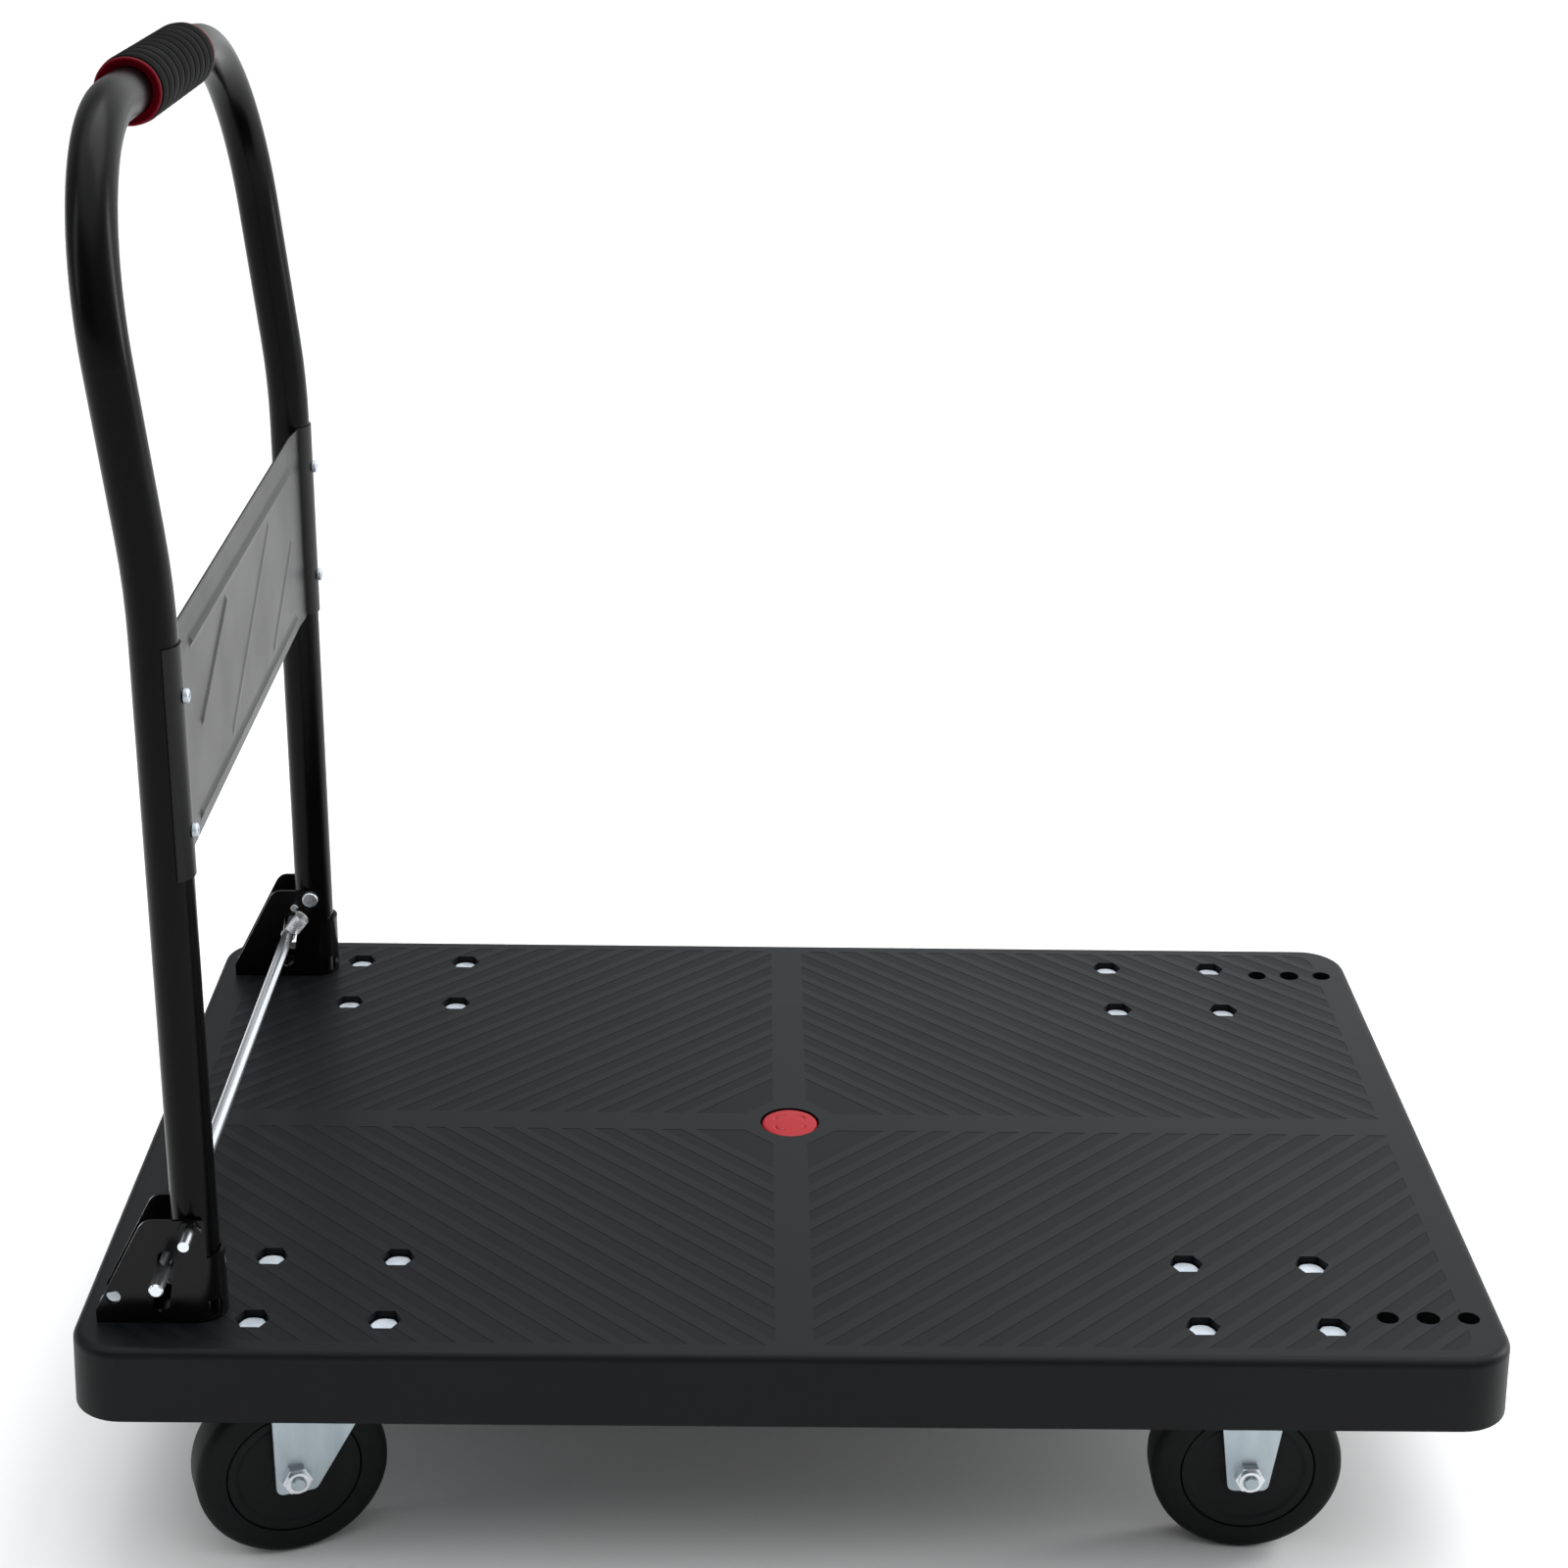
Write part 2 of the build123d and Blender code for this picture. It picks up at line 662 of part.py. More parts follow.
def make_panel_screws():
    """Four pan-head screws that hold the panel to the posts."""
    seat = pivot_x + tube_radius + panel_clearance + panel_steel
    screws = []
    for side in (-1, 1):
        for height in panel_screw_heights:
            y = side * bracket_y
            z = deck_top + height
            head = rod_x_axis(screw_head_diameter / 2, seat, seat + screw_head_height, y, z)
            head = fillet(head.edges().filter_by(GeomType.CIRCLE).sort_by(Axis.X)[-1], screw_head_round)
            cross = Pos(seat + screw_head_height, y, z)
            head -= cross * Box(2 * screw_cross_depth, screw_cross_width, screw_cross_length)
            head -= cross * Box(2 * screw_cross_depth, screw_cross_length, screw_cross_width)
            shank = rod_x_axis(screw_shank_diameter / 2, seat - screw_length, seat, y, z)
            screws.append(head + shank)
    return group(screws)


# ---- latch ------------------------------------------------------------------
def make_rod():
    """Latch rod right across both brackets, with a small chamfer at each end."""
    rod = rod_y_axis(rod_diameter / 2, -rod_half, rod_half, rod_x, rod_z)
    return chamfer(rod.edges().filter_by(GeomType.CIRCLE), rod_chamfer)


def spring_line():
    """Direction of the spring's coil in side view, away from the rod."""
    aim_x = pivot_x - spring_aim_back - rod_x
    aim_z = pivot_z - spring_aim_below - rod_z
    size = (aim_x**2 + aim_z**2) ** 0.5
    return aim_x / size, aim_z / size


def spring_post_spot():
    """Where the spring post stands on the inner cheek: beside the coil's upper end."""
    ux, uz = spring_line()
    along = spring_start + spring_turns * (spring_wire + spring_pitch_gap) + spring_post_diameter / 2
    aside = (spring_diameter + spring_post_diameter) / 2 + spring_post_gap
    return rod_x + ux * along - uz * aside, rod_z + uz * along + ux * aside


def wire_link(start, end):
    """Straight piece of spring wire between two points."""
    along = end - start
    frame = Plane(origin=start, z_dir=along)
    bar = frame.location * Cylinder(spring_wire / 2, along.length, align=bottom)
    return bar + Pos(start) * Sphere(spring_wire / 2) + Pos(end) * Sphere(spring_wire / 2)


def make_spring(side):
    """Close-wound extension spring: a loop round the rod, the coil and a loop round its post."""
    ux, uz = spring_line()
    turn_pitch = spring_wire + spring_pitch_gap
    mean = (spring_diameter - spring_wire) / 2
    height = spring_turns * turn_pitch
    up = Vector(ux, 0, uz)
    out = Vector(0, 1, 0)
    start = up * spring_start
    frame = Plane(origin=start, x_dir=out, z_dir=up)
    path = Helix(turn_pitch, height, mean)
    section = Plane(origin=path @ 0, z_dir=path % 0) * Circle(spring_wire / 2)
    coil = frame.location * sweep(section, path=Wire([path]), is_frenet=True)
    low_radius = (rod_diameter + spring_wire) / 2 + spring_loop_gap
    low_loop = Rot(90, 0, 0) * Torus(low_radius, spring_wire / 2)
    post_x, post_z = spring_post_spot()
    post = Vector(post_x - rod_x, 0, post_z - rod_z)
    high_radius = (spring_post_diameter + spring_wire) / 2 + spring_loop_gap
    high_loop = Pos(post) * Rot(90, 0, 0) * Torus(high_radius, spring_wire / 2)
    low_link = wire_link(up * low_radius, start + out * mean)
    near_post = post + Vector(uz, 0, -ux) * high_radius
    high_link = wire_link(start + out * mean + up * height, near_post)
    spring = coil + low_loop + high_loop + low_link + high_link
    return Pos(rod_x, side * (bracket_y - bracket_half - spring_inset), rod_z) * spring


def make_spring_posts():
    """Short posts set in the inner cheeks, one for each spring."""
    post_x, post_z = spring_post_spot()
    posts = []
    for side in (-1, 1):
        inner_face = side * (bracket_y - bracket_half)
        low, high = sorted((inner_face - side * spring_post_reach, inner_face + side * bracket_steel))
        posts.append(rod_y_axis(spring_post_diameter / 2, low, high, post_x, post_z))
    return group(posts)


# ---- casters ----------------------------------------------------------------
def caster_plate(thickness_top):
    """Mounting plate with four bolt holes, centred on the caster's own axis."""
    face = RectangleRounded(plate_length, plate_width, plate_corner)
    plate = Pos(0, 0, thickness_top - plate_thickness) * extrude(face, plate_thickness)
    for i in (-1, 1):
        for j in (-1, 1):
            x = i * bolt_spacing_x / 2
            y = j * bolt_spacing_y / 2
            radius = (caster_bolt_diameter + bolt_clearance) / 2
            plate -= rod_z_axis(radius, mount_z - plate_thickness - 1, mount_z + 1, x, y)
    return plate


def fork_leg(outline, side):
    """One side plate of a fork, from its side view."""
    leg = extrude(Plane.XZ * outline, fork_steel)
    return Pos(0, -fork_gap / 2 if side < 0 else fork_outer, 0) * leg


def foot_outline(axle_x, top_left, top_right, top_z):
    """Side view of a leg: slanted sides from the crown to a narrow foot with rounded corners."""
    shoulder = top_z - leg_top_height
    low = axle_z - foot_drop
    outline = Polyline(
        (axle_x - foot_half, low),
        (axle_x + foot_half, low),
        (top_right, shoulder),
        (top_right, top_z),
        (top_left, top_z),
        (top_left, shoulder),
        close=True,
    )
    face = make_face(outline)
    corners = face.vertices().sort_by(Axis.Y)[:2]
    return fillet(corners, foot_corner)


def make_fixed_fork():
    """Rigid fork: its plate and both legs are one pressing."""
    half = fixed_fork_top / 2
    under = mount_z - plate_thickness
    fork = caster_plate(mount_z)
    for side in (-1, 1):
        fork += fork_leg(foot_outline(0, -half, half, under), side)
    return fork - rod_y_axis(axle_diameter / 2, -fork_outer - 1, fork_outer + 1, 0, axle_z)


def race_levels():
    """Heights of the ball centres, the crown's top and the plate ring's underside."""
    under = mount_z - plate_thickness
    crown_top = under - crown_drop
    ball_z = crown_top + ball_diameter / 2 + race_clearance / 2
    ring_low = ball_z + ball_diameter / 2 + race_clearance / 2
    return ball_z, crown_top, ring_low


def make_swivel_plate():
    """Top plate with the upper race ring and a hole for the king pin."""
    ball_z, crown_top, ring_low = race_levels()
    under = mount_z - plate_thickness
    ring = rod_z_axis(crown_radius, ring_low, under) - rod_z_axis(race_hole_radius, ring_low - 1, under + 1)
    plate = caster_plate(mount_z) + ring
    return plate - rod_z_axis(king_pin_diameter / 2, ring_low - 1, mount_z + 1)


def make_balls():
    """One ring of bearing balls."""
    ball_z = race_levels()[0]
    balls = []
    for n in range(balls_per_race):
        a = radians(360 * n / balls_per_race)
        balls.append(Pos(race_radius * cos(a), race_radius * sin(a), ball_z) * Sphere(ball_diameter / 2))
    return group(balls)


def make_swivel_fork():
    """Swivel fork: round crown with a lip round the balls, and two raked legs."""
    ball_z, crown_top, ring_low = race_levels()
    crown_low = crown_top - crown_steel
    axle_x = -swivel_trail
    back = axle_x - foot_half - foot_rake
    fork = rod_z_axis(crown_radius, crown_low, crown_top)
    front = crown_radius - crown_edge
    fork += slab(back, front, -fork_outer, fork_outer, crown_low, crown_top)
    for side in (-1, 1):
        fork += fork_leg(foot_outline(axle_x, back, front, crown_top), side)
    lip = rod_z_axis(crown_radius, crown_top, ring_low - race_lip_gap)
    lip -= rod_z_axis(crown_radius - fork_steel, crown_top - 1, ring_low)
    fork += lip
    fork -= rod_z_axis(king_pin_diameter / 2 + bearing_clearance, crown_low - 1, crown_top + 1)
    return fork - rod_y_axis(axle_diameter / 2, -fork_outer - 1, fork_outer + 1, axle_x, axle_z)


def make_king_pin():
    """Rivet that joins the plate to the crown, with a flat head underneath."""
    crown_low = race_levels()[1] - crown_steel
    head_top = crown_low - king_pin_gap
    pin = rod_z_axis(king_pin_diameter / 2, head_top, mount_z)
    return pin + rod_z_axis(king_pin_head / 2, head_top - king_pin_head_height, head_top)


def make_tyre():
    """Solid tyre with rounded shoulders, centred on its axle."""
    half = wheel_width / 2
    body = rod_y_axis(wheel_diameter / 2, -half, half)
    body = fillet(body.edges().filter_by(GeomType.CIRCLE), tyre_shoulder)
    return body - rod_y_axis(hub_diameter / 2, -half - 1, half + 1)


def make_hub():
    """Wheel centre: rim, dished web and a long boss with its bearing bore."""
    half = wheel_width / 2
    boss_half = fork_gap / 2 - hub_end_gap
    body = rod_y_axis(hub_diameter / 2, -half, half)
    dish_outer = hub_diameter / 2 - hub_rim
    for side in (-1, 1):
        low, high = sorted((side * (half - hub_dish_depth), side * (half + 1)))
        dish = rod_y_axis(dish_outer, low, high) - rod_y_axis(hub_boss_diameter / 2, low - 1, high + 1)
        body -= dish
    body += rod_y_axis(hub_boss_diameter / 2 - hub_boss_step, -boss_half, boss_half)
    return body - rod_y_axis(bush_diameter / 2 + bearing_clearance, -boss_half - 1, boss_half + 1)


def make_bush():
    """Steel bush between the fork's legs, which the wheel turns on."""
    half = fork_gap / 2
    return rod_y_axis(bush_diameter / 2, -half, half) - rod_y_axis(axle_diameter / 2, -half - 1, half + 1)


def make_axle_bolt():
    """Axle bolt: hex head inside, thread end on the other side."""
    head_low = fork_outer
    flat = RegularPolygon(bolt_head_across / 2, 6, major_radius=False)
    head = Pos(0, head_low, 0) * Rot(-90, 0, 0) * extrude(flat, bolt_head_height)
    tip = -(fork_outer + axle_nut_height + axle_tip)
    shank = rod_y_axis(axle_diameter / 2, tip, head_low)
    shank = chamfer(shank.edges().filter_by(GeomType.CIRCLE).sort_by(Axis.Y)[0], axle_chamfer)
    return head + shank


def make_axle_nut():
    """Lock nut: hexagon with a round collar."""
    flat = RegularPolygon(nut_across / 2, 6, major_radius=False)
    far = -fork_outer - axle_nut_height
    hexagon = Pos(0, -fork_outer, 0) * Rot(90, 0, 0) * extrude(flat, axle_nut_height - axle_nut_collar)
    body = hexagon + rod_y_axis(nut_across / 2 - axle_collar_step, far, -fork_outer)
    return body - rod_y_axis(axle_diameter / 2, far - 1, -fork_outer + 1)


def make_wheel_parts(name, place):
    """One wheel with its bearing and axle, put where its fork holds it."""
    save(place * make_tyre(), f"tyre_{name}")
    save(place * make_hub(), f"wheel_hub_{name}")
    save(place * make_bush(), f"axle_bush_{name}")
    save(place * make_axle_bolt(), f"axle_bolt_{name}")
    save(place * make_axle_nut(), f"axle_nut_{name}")


def make_casters():
    """All four casters: rigid ones at the front, swivelling ones under the handle."""
    for name, (x, y) in caster_spots.items():
        spot = Pos(x, y, 0)
        if name.startswith("front"):
            save(spot * make_fixed_fork(), f"fixed_fork_{name}")
            make_wheel_parts(name, spot * Pos(0, 0, axle_z))
            continue
        turned = spot * Rot(0, 0, swivel_rest_angle)
        save(spot * make_swivel_plate(), f"swivel_plate_{name}")
        save(spot * make_king_pin(), f"king_pin_{name}")
        save(spot * make_balls(), f"swivel_balls_{name}")
        save(turned * make_swivel_fork(), f"swivel_fork_{name}")
        make_wheel_parts(name, turned * Pos(-swivel_trail, 0, axle_z))


def main():
    """Build and write every node."""
    os.makedirs("parts", exist_ok=True)
    save(make_deck(), "deck")
    save(make_cap(), "centre_cap")
    make_caster_fasteners()
    make_bracket_fasteners()
    save(make_bracket(1), "handle_bracket_left")
    save(make_bracket(-1), "handle_bracket_right")
    make_pivot_pins()
    save(make_tube(), "handle_tube")
    save(make_grip(), "handle_grip")
    save(make_grip_rings(), "grip_end_rings")
    save(make_panel(), "handle_panel")
    save(make_panel_screws(), "panel_screws")
    save(make_rod(), "latch_rod")
    save(make_spring(1), "latch_spring_left")
    save(make_spring(-1), "latch_spring_right")
    save(make_spring_posts(), "spring_posts")
    make_casters()


main()
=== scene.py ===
import json
from math import cos, pi, radians, sin

import bmesh
import bpy
import numpy as np
from mathutils import Matrix, Vector


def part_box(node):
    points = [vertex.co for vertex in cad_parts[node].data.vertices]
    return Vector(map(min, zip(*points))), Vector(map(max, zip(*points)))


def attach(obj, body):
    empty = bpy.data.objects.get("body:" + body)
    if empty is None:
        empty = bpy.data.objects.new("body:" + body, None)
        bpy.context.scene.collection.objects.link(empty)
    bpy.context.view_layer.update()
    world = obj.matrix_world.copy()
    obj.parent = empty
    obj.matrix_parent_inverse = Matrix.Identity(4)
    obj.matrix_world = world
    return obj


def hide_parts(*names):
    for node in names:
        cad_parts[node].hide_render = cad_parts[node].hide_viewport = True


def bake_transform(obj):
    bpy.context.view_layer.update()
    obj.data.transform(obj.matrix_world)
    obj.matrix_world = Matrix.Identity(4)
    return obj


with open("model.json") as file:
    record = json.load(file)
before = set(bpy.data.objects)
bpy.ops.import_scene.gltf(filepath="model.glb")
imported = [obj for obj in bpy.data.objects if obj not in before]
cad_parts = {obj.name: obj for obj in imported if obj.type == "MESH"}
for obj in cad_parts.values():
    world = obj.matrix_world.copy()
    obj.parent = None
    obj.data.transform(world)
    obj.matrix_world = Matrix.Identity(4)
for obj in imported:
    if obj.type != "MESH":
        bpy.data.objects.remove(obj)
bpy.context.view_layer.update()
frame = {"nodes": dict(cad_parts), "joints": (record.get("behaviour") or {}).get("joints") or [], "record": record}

bpy.context.scene.view_settings.view_transform = "Standard"
joints = {joint["name"]: joint for joint in frame["joints"]}
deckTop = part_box("deck")[1].z


# mesh helpers

def smoothByAngle(mesh, degrees=32):
    mesh.polygons.foreach_set("use_smooth", np.ones(len(mesh.polygons), bool))
    mesh.set_sharp_from_angle(angle=radians(degrees))


def gridPiece(name, grid, material, closeRows=False, closeColumns=False, degrees=32):
    # grid[i, j] is a point; four neighbours make a face, wrapping where a side closes
    rows, columns = grid.shape[:2]
    index = np.arange(rows * columns).reshape(rows, columns)
    if closeRows:
        index = np.vstack([index, index[:1]])
    if closeColumns:
        index = np.hstack([index, index[:, :1]])
    corners = [index[:-1, :-1], index[1:, :-1], index[1:, 1:], index[:-1, 1:]]
    faces = np.stack(corners, -1).reshape(-1, 4)
    mesh = bpy.data.meshes.new(name)
    mesh.from_pydata(grid.reshape(-1, 3).tolist(), [], faces.tolist())
    tidyUp(mesh)
    smoothByAngle(mesh, degrees)
    mesh.materials.append(material)
    piece = bpy.data.objects.new(name, mesh)
    bpy.context.scene.collection.objects.link(piece)
    return piece


def tidyUp(mesh):
    # poles and open ends are closed, and every face is turned outwards
    work = bmesh.new()
    work.from_mesh(mesh)
    bmesh.ops.remove_doubles(work, verts=work.verts, dist=1e-6)
    bmesh.ops.holes_fill(work, edges=[edge for edge in work.edges if edge.is_boundary], sides=0)
    bmesh.ops.recalc_face_normals(work, faces=work.faces)
    work.to_mesh(mesh)
    work.free()


def turnedGrid(profile, steps):
    # profile rows are (distance along the axis, radius), and
    # point = along * axis + radius * (cos a, sin a) round it
    angle = np.linspace(0, 2 * pi, steps, endpoint=False)
    along = np.repeat(profile[:, :1], steps, 1)
    radius = profile[:, 1:2]
    return np.stack([radius * np.cos(angle), along, radius * np.sin(angle)], -1)


def roundedPath(corners, steps=5):
    # corners rows are (x, y, fillet radius); each corner becomes points on the arc
    # that touches both of its sides
    points = []
    count = len(corners)
    for n in range(count):
        before = np.array(corners[n - 1][:2])
        here = np.array(corners[n][:2])
        after = np.array(corners[(n + 1) % count][:2])
        radius = corners[n][2]
        if radius <= 0:
            points.append(here)
            continue
        toBefore = (before - here) / np.linalg.norm(before - here)
        toAfter = (after - here) / np.linalg.norm(after - here)
        half = np.arccos(np.clip(toBefore @ toAfter, -1, 1)) / 2
        bisector = (toBefore + toAfter) / np.linalg.norm(toBefore + toAfter)
        centre = here + bisector * radius / np.sin(half)
        start = here + toBefore * radius / np.tan(half) - centre
        end = here + toAfter * radius / np.tan(half) - centre
        turn = np.arctan2(start[0] * end[1] - start[1] * end[0], start @ end)
        angle = np.linspace(0, turn, steps)
        x = start[0] * np.cos(angle) - start[1] * np.sin(angle)
        y = start[0] * np.sin(angle) + start[1] * np.cos(angle)
        points += list(centre + np.stack([x, y], -1))
    return np.array(points)


def wireGrid(path, radius, sides=10):
    # a ring of points round each path point, carried along with the least twist
    step = np.gradient(path, axis=0)
    step /= np.linalg.norm(step, axis=1)[:, None]
    anyDirection = [0.3, 0.2, 0.93]  # not along the first step
    across = np.cross(step[0], anyDirection)
    across /= np.linalg.norm(across)
    frames = []
    for direction in step:
        across = across - direction * (across @ direction)
        across /= np.linalg.norm(across)
        frames.append(across)
    across = np.array(frames)
    other = np.cross(step, across)
    angle = np.linspace(0, 2 * pi, sides, endpoint=False)[None, :, None]
    ring = np.cos(angle) * across[:, None] + np.sin(angle) * other[:, None]
    return path[:, None] + radius * ring


# materials

noiseLow, noiseHigh = 0.3, 0.7  # most of a noise texture's values lie between these
toneLow, toneHigh = 0.32, 0.68


def newMaterial(name, colour, roughness, metallic=0.0, specular=0.5):
    material = bpy.data.materials.new(name)
    material.use_nodes = True
    shader = material.node_tree.nodes["Principled BSDF"]
    shader.inputs["Base Color"].default_value = (*colour, 1)
    shader.inputs["Roughness"].default_value = roughness
    shader.inputs["Metallic"].default_value = metallic
    shader.inputs["Specular IOR Level"].default_value = specular
    return material, shader


def addNoise(material, scale, detail=3.0, stretch=(1, 1, 1)):
    nodes, links = material.node_tree.nodes, material.node_tree.links
    place = nodes.new("ShaderNodeTexCoord")
    mapping = nodes.new("ShaderNodeMapping")
    mapping.inputs["Scale"].default_value = stretch
    noise = nodes.new("ShaderNodeTexNoise")
    noise.inputs["Scale"].default_value = scale
    noise.inputs["Detail"].default_value = detail
    links.new(place.outputs["Object"], mapping.inputs["Vector"])
    links.new(mapping.outputs["Vector"], noise.inputs["Vector"])
    return noise


def varyRoughness(material, shader, noise, low, high):
    nodes, links = material.node_tree.nodes, material.node_tree.links
    spread = nodes.new("ShaderNodeMapRange")
    spread.inputs["From Min"].default_value = noiseLow
    spread.inputs["From Max"].default_value = noiseHigh
    spread.inputs["To Min"].default_value = low
    spread.inputs["To Max"].default_value = high
    links.new(noise.outputs["Fac"], spread.inputs["Value"])
    links.new(spread.outputs["Result"], shader.inputs["Roughness"])


def varyColour(material, shader, noise, dark, light):
    nodes, links = material.node_tree.nodes, material.node_tree.links
    ramp = nodes.new("ShaderNodeValToRGB")
    ramp.color_ramp.elements[0].position = toneLow
    ramp.color_ramp.elements[0].color = (*dark, 1)
    ramp.color_ramp.elements[1].position = toneHigh
    ramp.color_ramp.elements[1].color = (*light, 1)
    links.new(noise.outputs["Fac"], ramp.inputs["Fac"])
    links.new(ramp.outputs["Color"], shader.inputs["Base Color"])


def addBump(material, shader, noise, strength, distance):
    nodes, links = material.node_tree.nodes, material.node_tree.links
    bump = nodes.new("ShaderNodeBump")
    bump.inputs["Strength"].default_value = strength
    bump.inputs["Distance"].default_value = distance
    links.new(noise.outputs["Fac"], bump.inputs["Height"])
    links.new(bump.outputs["Normal"], shader.inputs["Normal"])


def mouldedPlastic(name, dark, light, roughness, specular, grain):
    material, shader = newMaterial(name, dark, roughness, specular=specular)
    cloudy = addNoise(material, scale=9.0, detail=4.0)
    varyColour(material, shader, cloudy, dark, light)
    varyRoughness(material, shader, cloudy, roughness - 0.04, roughness + 0.05)
    grainy = addNoise(material, grain, detail=2.0)
    addBump(material, shader, grainy, strength=0.12, distance=0.00015)
    return material


def paintedSteel(name, dark, light, roughness, specular, peel):
    material, shader = newMaterial(name, dark, roughness, specular=specular)
    cloudy = addNoise(material, scale=14.0, detail=3.0)
    varyColour(material, shader, cloudy, dark, light)
    varyRoughness(material, shader, cloudy, roughness - 0.02, roughness + 0.04)
    waves = addNoise(material, peel, detail=1.0)
    addBump(material, shader, waves, strength=0.05, distance=0.0002)
    return material


def platedSteel(name, dark, light, roughness, stretch, metallic):
    material, shader = newMaterial(name, dark, roughness, metallic)
    brushed = addNoise(material, scale=90.0, detail=4.0, stretch=stretch)
    varyColour(material, shader, brushed, dark, light)
    varyRoughness(material, shader, brushed, roughness - 0.05, roughness + 0.08)
    addBump(material, shader, brushed, strength=0.06, distance=0.0001)
    return material


def rubberMaterial(name, dark, light, roughness, grain, specular):
    material, shader = newMaterial(name, dark, roughness, specular=specular)
    cloudy = addNoise(material, scale=30.0, detail=4.0)
    varyColour(material, shader, cloudy, dark, light)
    varyRoughness(material, shader, cloudy, roughness - 0.06, roughness + 0.06)
    grainy = addNoise(material, grain, detail=2.0)
    addBump(material, shader, grainy, strength=0.2, distance=0.0002)
    return material


deckLook = {
    "base": (0.005, 0.0055, 0.0064),
    # painted shade colour for the groove floors, painted light colour for the lands
    "paintedGrooveShade": (0.0042, 0.0046, 0.0054),
    "paintedLandLight": (0.0068, 0.0073, 0.0082),
    "roughness": 0.4,
    "grooveRoughness": 0.46,
    "landRoughness": 0.37,
    "mottle": 0.03,
    "specular": 0.12,
    "landStart": 0.00012,  # below the deck's top
    "landFull": 0.00003,
}


def deckMaterial():
    # painted shade in the groove floors and painted light on the lands: by height below the deck's top, the lands
    # between the grooves are a touch lighter and smoother than the groove floors
    material, shader = newMaterial("deckPlastic", deckLook["base"], deckLook["roughness"],
                                   specular=deckLook["specular"])
    nodes, links = material.node_tree.nodes, material.node_tree.links
    place = nodes.new("ShaderNodeTexCoord")
    split = nodes.new("ShaderNodeSeparateXYZ")
    links.new(place.outputs["Object"], split.inputs["Vector"])
    land = nodes.new("ShaderNodeMapRange")
    land.inputs["From Min"].default_value = deckTop - deckLook["landStart"]
    land.inputs["From Max"].default_value = deckTop - deckLook["landFull"]
    links.new(split.outputs["Z"], land.inputs["Value"])
    cloudy = addNoise(material, scale=9.0, detail=4.0)
    mottled = nodes.new("ShaderNodeMapRange")
    mottled.inputs["From Min"].default_value = noiseLow
    mottled.inputs["From Max"].default_value = noiseHigh
    mottled.inputs["To Min"].default_value = -deckLook["mottle"]
    mottled.inputs["To Max"].default_value = deckLook["mottle"]
    links.new(cloudy.outputs["Fac"], mottled.inputs["Value"])
    shine = nodes.new("ShaderNodeMapRange")
    shine.inputs["To Min"].default_value = deckLook["grooveRoughness"]
    shine.inputs["To Max"].default_value = deckLook["landRoughness"]
    links.new(land.outputs["Result"], shine.inputs["Value"])
    total = nodes.new("ShaderNodeMath")
    links.new(shine.outputs["Result"], total.inputs[0])
    links.new(mottled.outputs["Result"], total.inputs[1])
    links.new(total.outputs["Value"], shader.inputs["Roughness"])
    # painted shade: colour goes from the dark groove floors to the lighter lands as the height rises
    shadeRamp = nodes.new("ShaderNodeValToRGB")
    shadeRamp.color_ramp.elements[0].color = (*deckLook["paintedGrooveShade"], 1)
    shadeRamp.color_ramp.elements[1].color = (*deckLook["paintedLandLight"], 1)
    links.new(land.outputs["Result"], shadeRamp.inputs["Fac"])
    links.new(shadeRamp.outputs["Color"], shader.inputs["Base Color"])
    grainy = addNoise(material, scale=900.0, detail=2.0)
    addBump(material, shader, grainy, strength=0.1, distance=0.00012)
    return material


print("materials")
deckPlastic = deckMaterial()
capPlastic = mouldedPlastic("capPlastic", dark=(0.28, 0.008, 0.013), light=(0.33, 0.010, 0.016),
                            roughness=0.34, specular=0.2, grain=500.0)
ringPlastic = mouldedPlastic("ringPlastic", dark=(0.10, 0.0015, 0.006), light=(0.14, 0.002, 0.009),
                             roughness=0.36, specular=0.06, grain=500.0)
hubPlastic = mouldedPlastic("hubPlastic", dark=(0.004, 0.0047, 0.005), light=(0.0055, 0.0062, 0.0067),
                            roughness=0.5, specular=0.12, grain=700.0)
tubePaint = paintedSteel("tubePaint", dark=(0.0012, 0.0012, 0.0014), light=(0.0018, 0.0018, 0.002),
                         roughness=0.24, specular=0.09, peel=260.0)
bracketPaint = paintedSteel("bracketPaint", dark=(0.002, 0.002, 0.0023), light=(0.003, 0.003, 0.0033),
                            roughness=0.2, specular=0.16, peel=300.0)
panelPaint = paintedSteel("panelPaint", dark=(0.004, 0.004, 0.0042), light=(0.006, 0.006, 0.0062),
                          roughness=0.34, specular=0.18, peel=240.0)
boltZinc = platedSteel("boltZinc", dark=(0.45, 0.50, 0.55), light=(0.55, 0.60, 0.65),
                       roughness=0.46, stretch=(1, 1, 1), metallic=0.45)
casterZinc = platedSteel("casterZinc", dark=(0.34, 0.405, 0.44), light=(0.45, 0.515, 0.55),
                         roughness=0.4, stretch=(1, 1, 0.25), metallic=0.85)
rodZinc = platedSteel("rodZinc", dark=(0.62, 0.65, 0.68), light=(0.74, 0.77, 0.80),
                      roughness=0.26, stretch=(1, 0.06, 1), metallic=1.0)
springSteel = platedSteel("springSteel", dark=(0.55, 0.56, 0.58), light=(0.72, 0.73, 0.75),
                          roughness=0.24, stretch=(1, 1, 1), metallic=1.0)
gripRubber = rubberMaterial("gripRubber", dark=(0.0008, 0.0008, 0.0008), light=(0.0018, 0.0018, 0.0018),
                            roughness=0.55, grain=800.0, specular=0.02)
tyreRubber = rubberMaterial("tyreRubber", dark=(0.0032, 0.0038, 0.0041), light=(0.005, 0.0057, 0.006),
                            roughness=0.55, grain=600.0, specular=0.12)

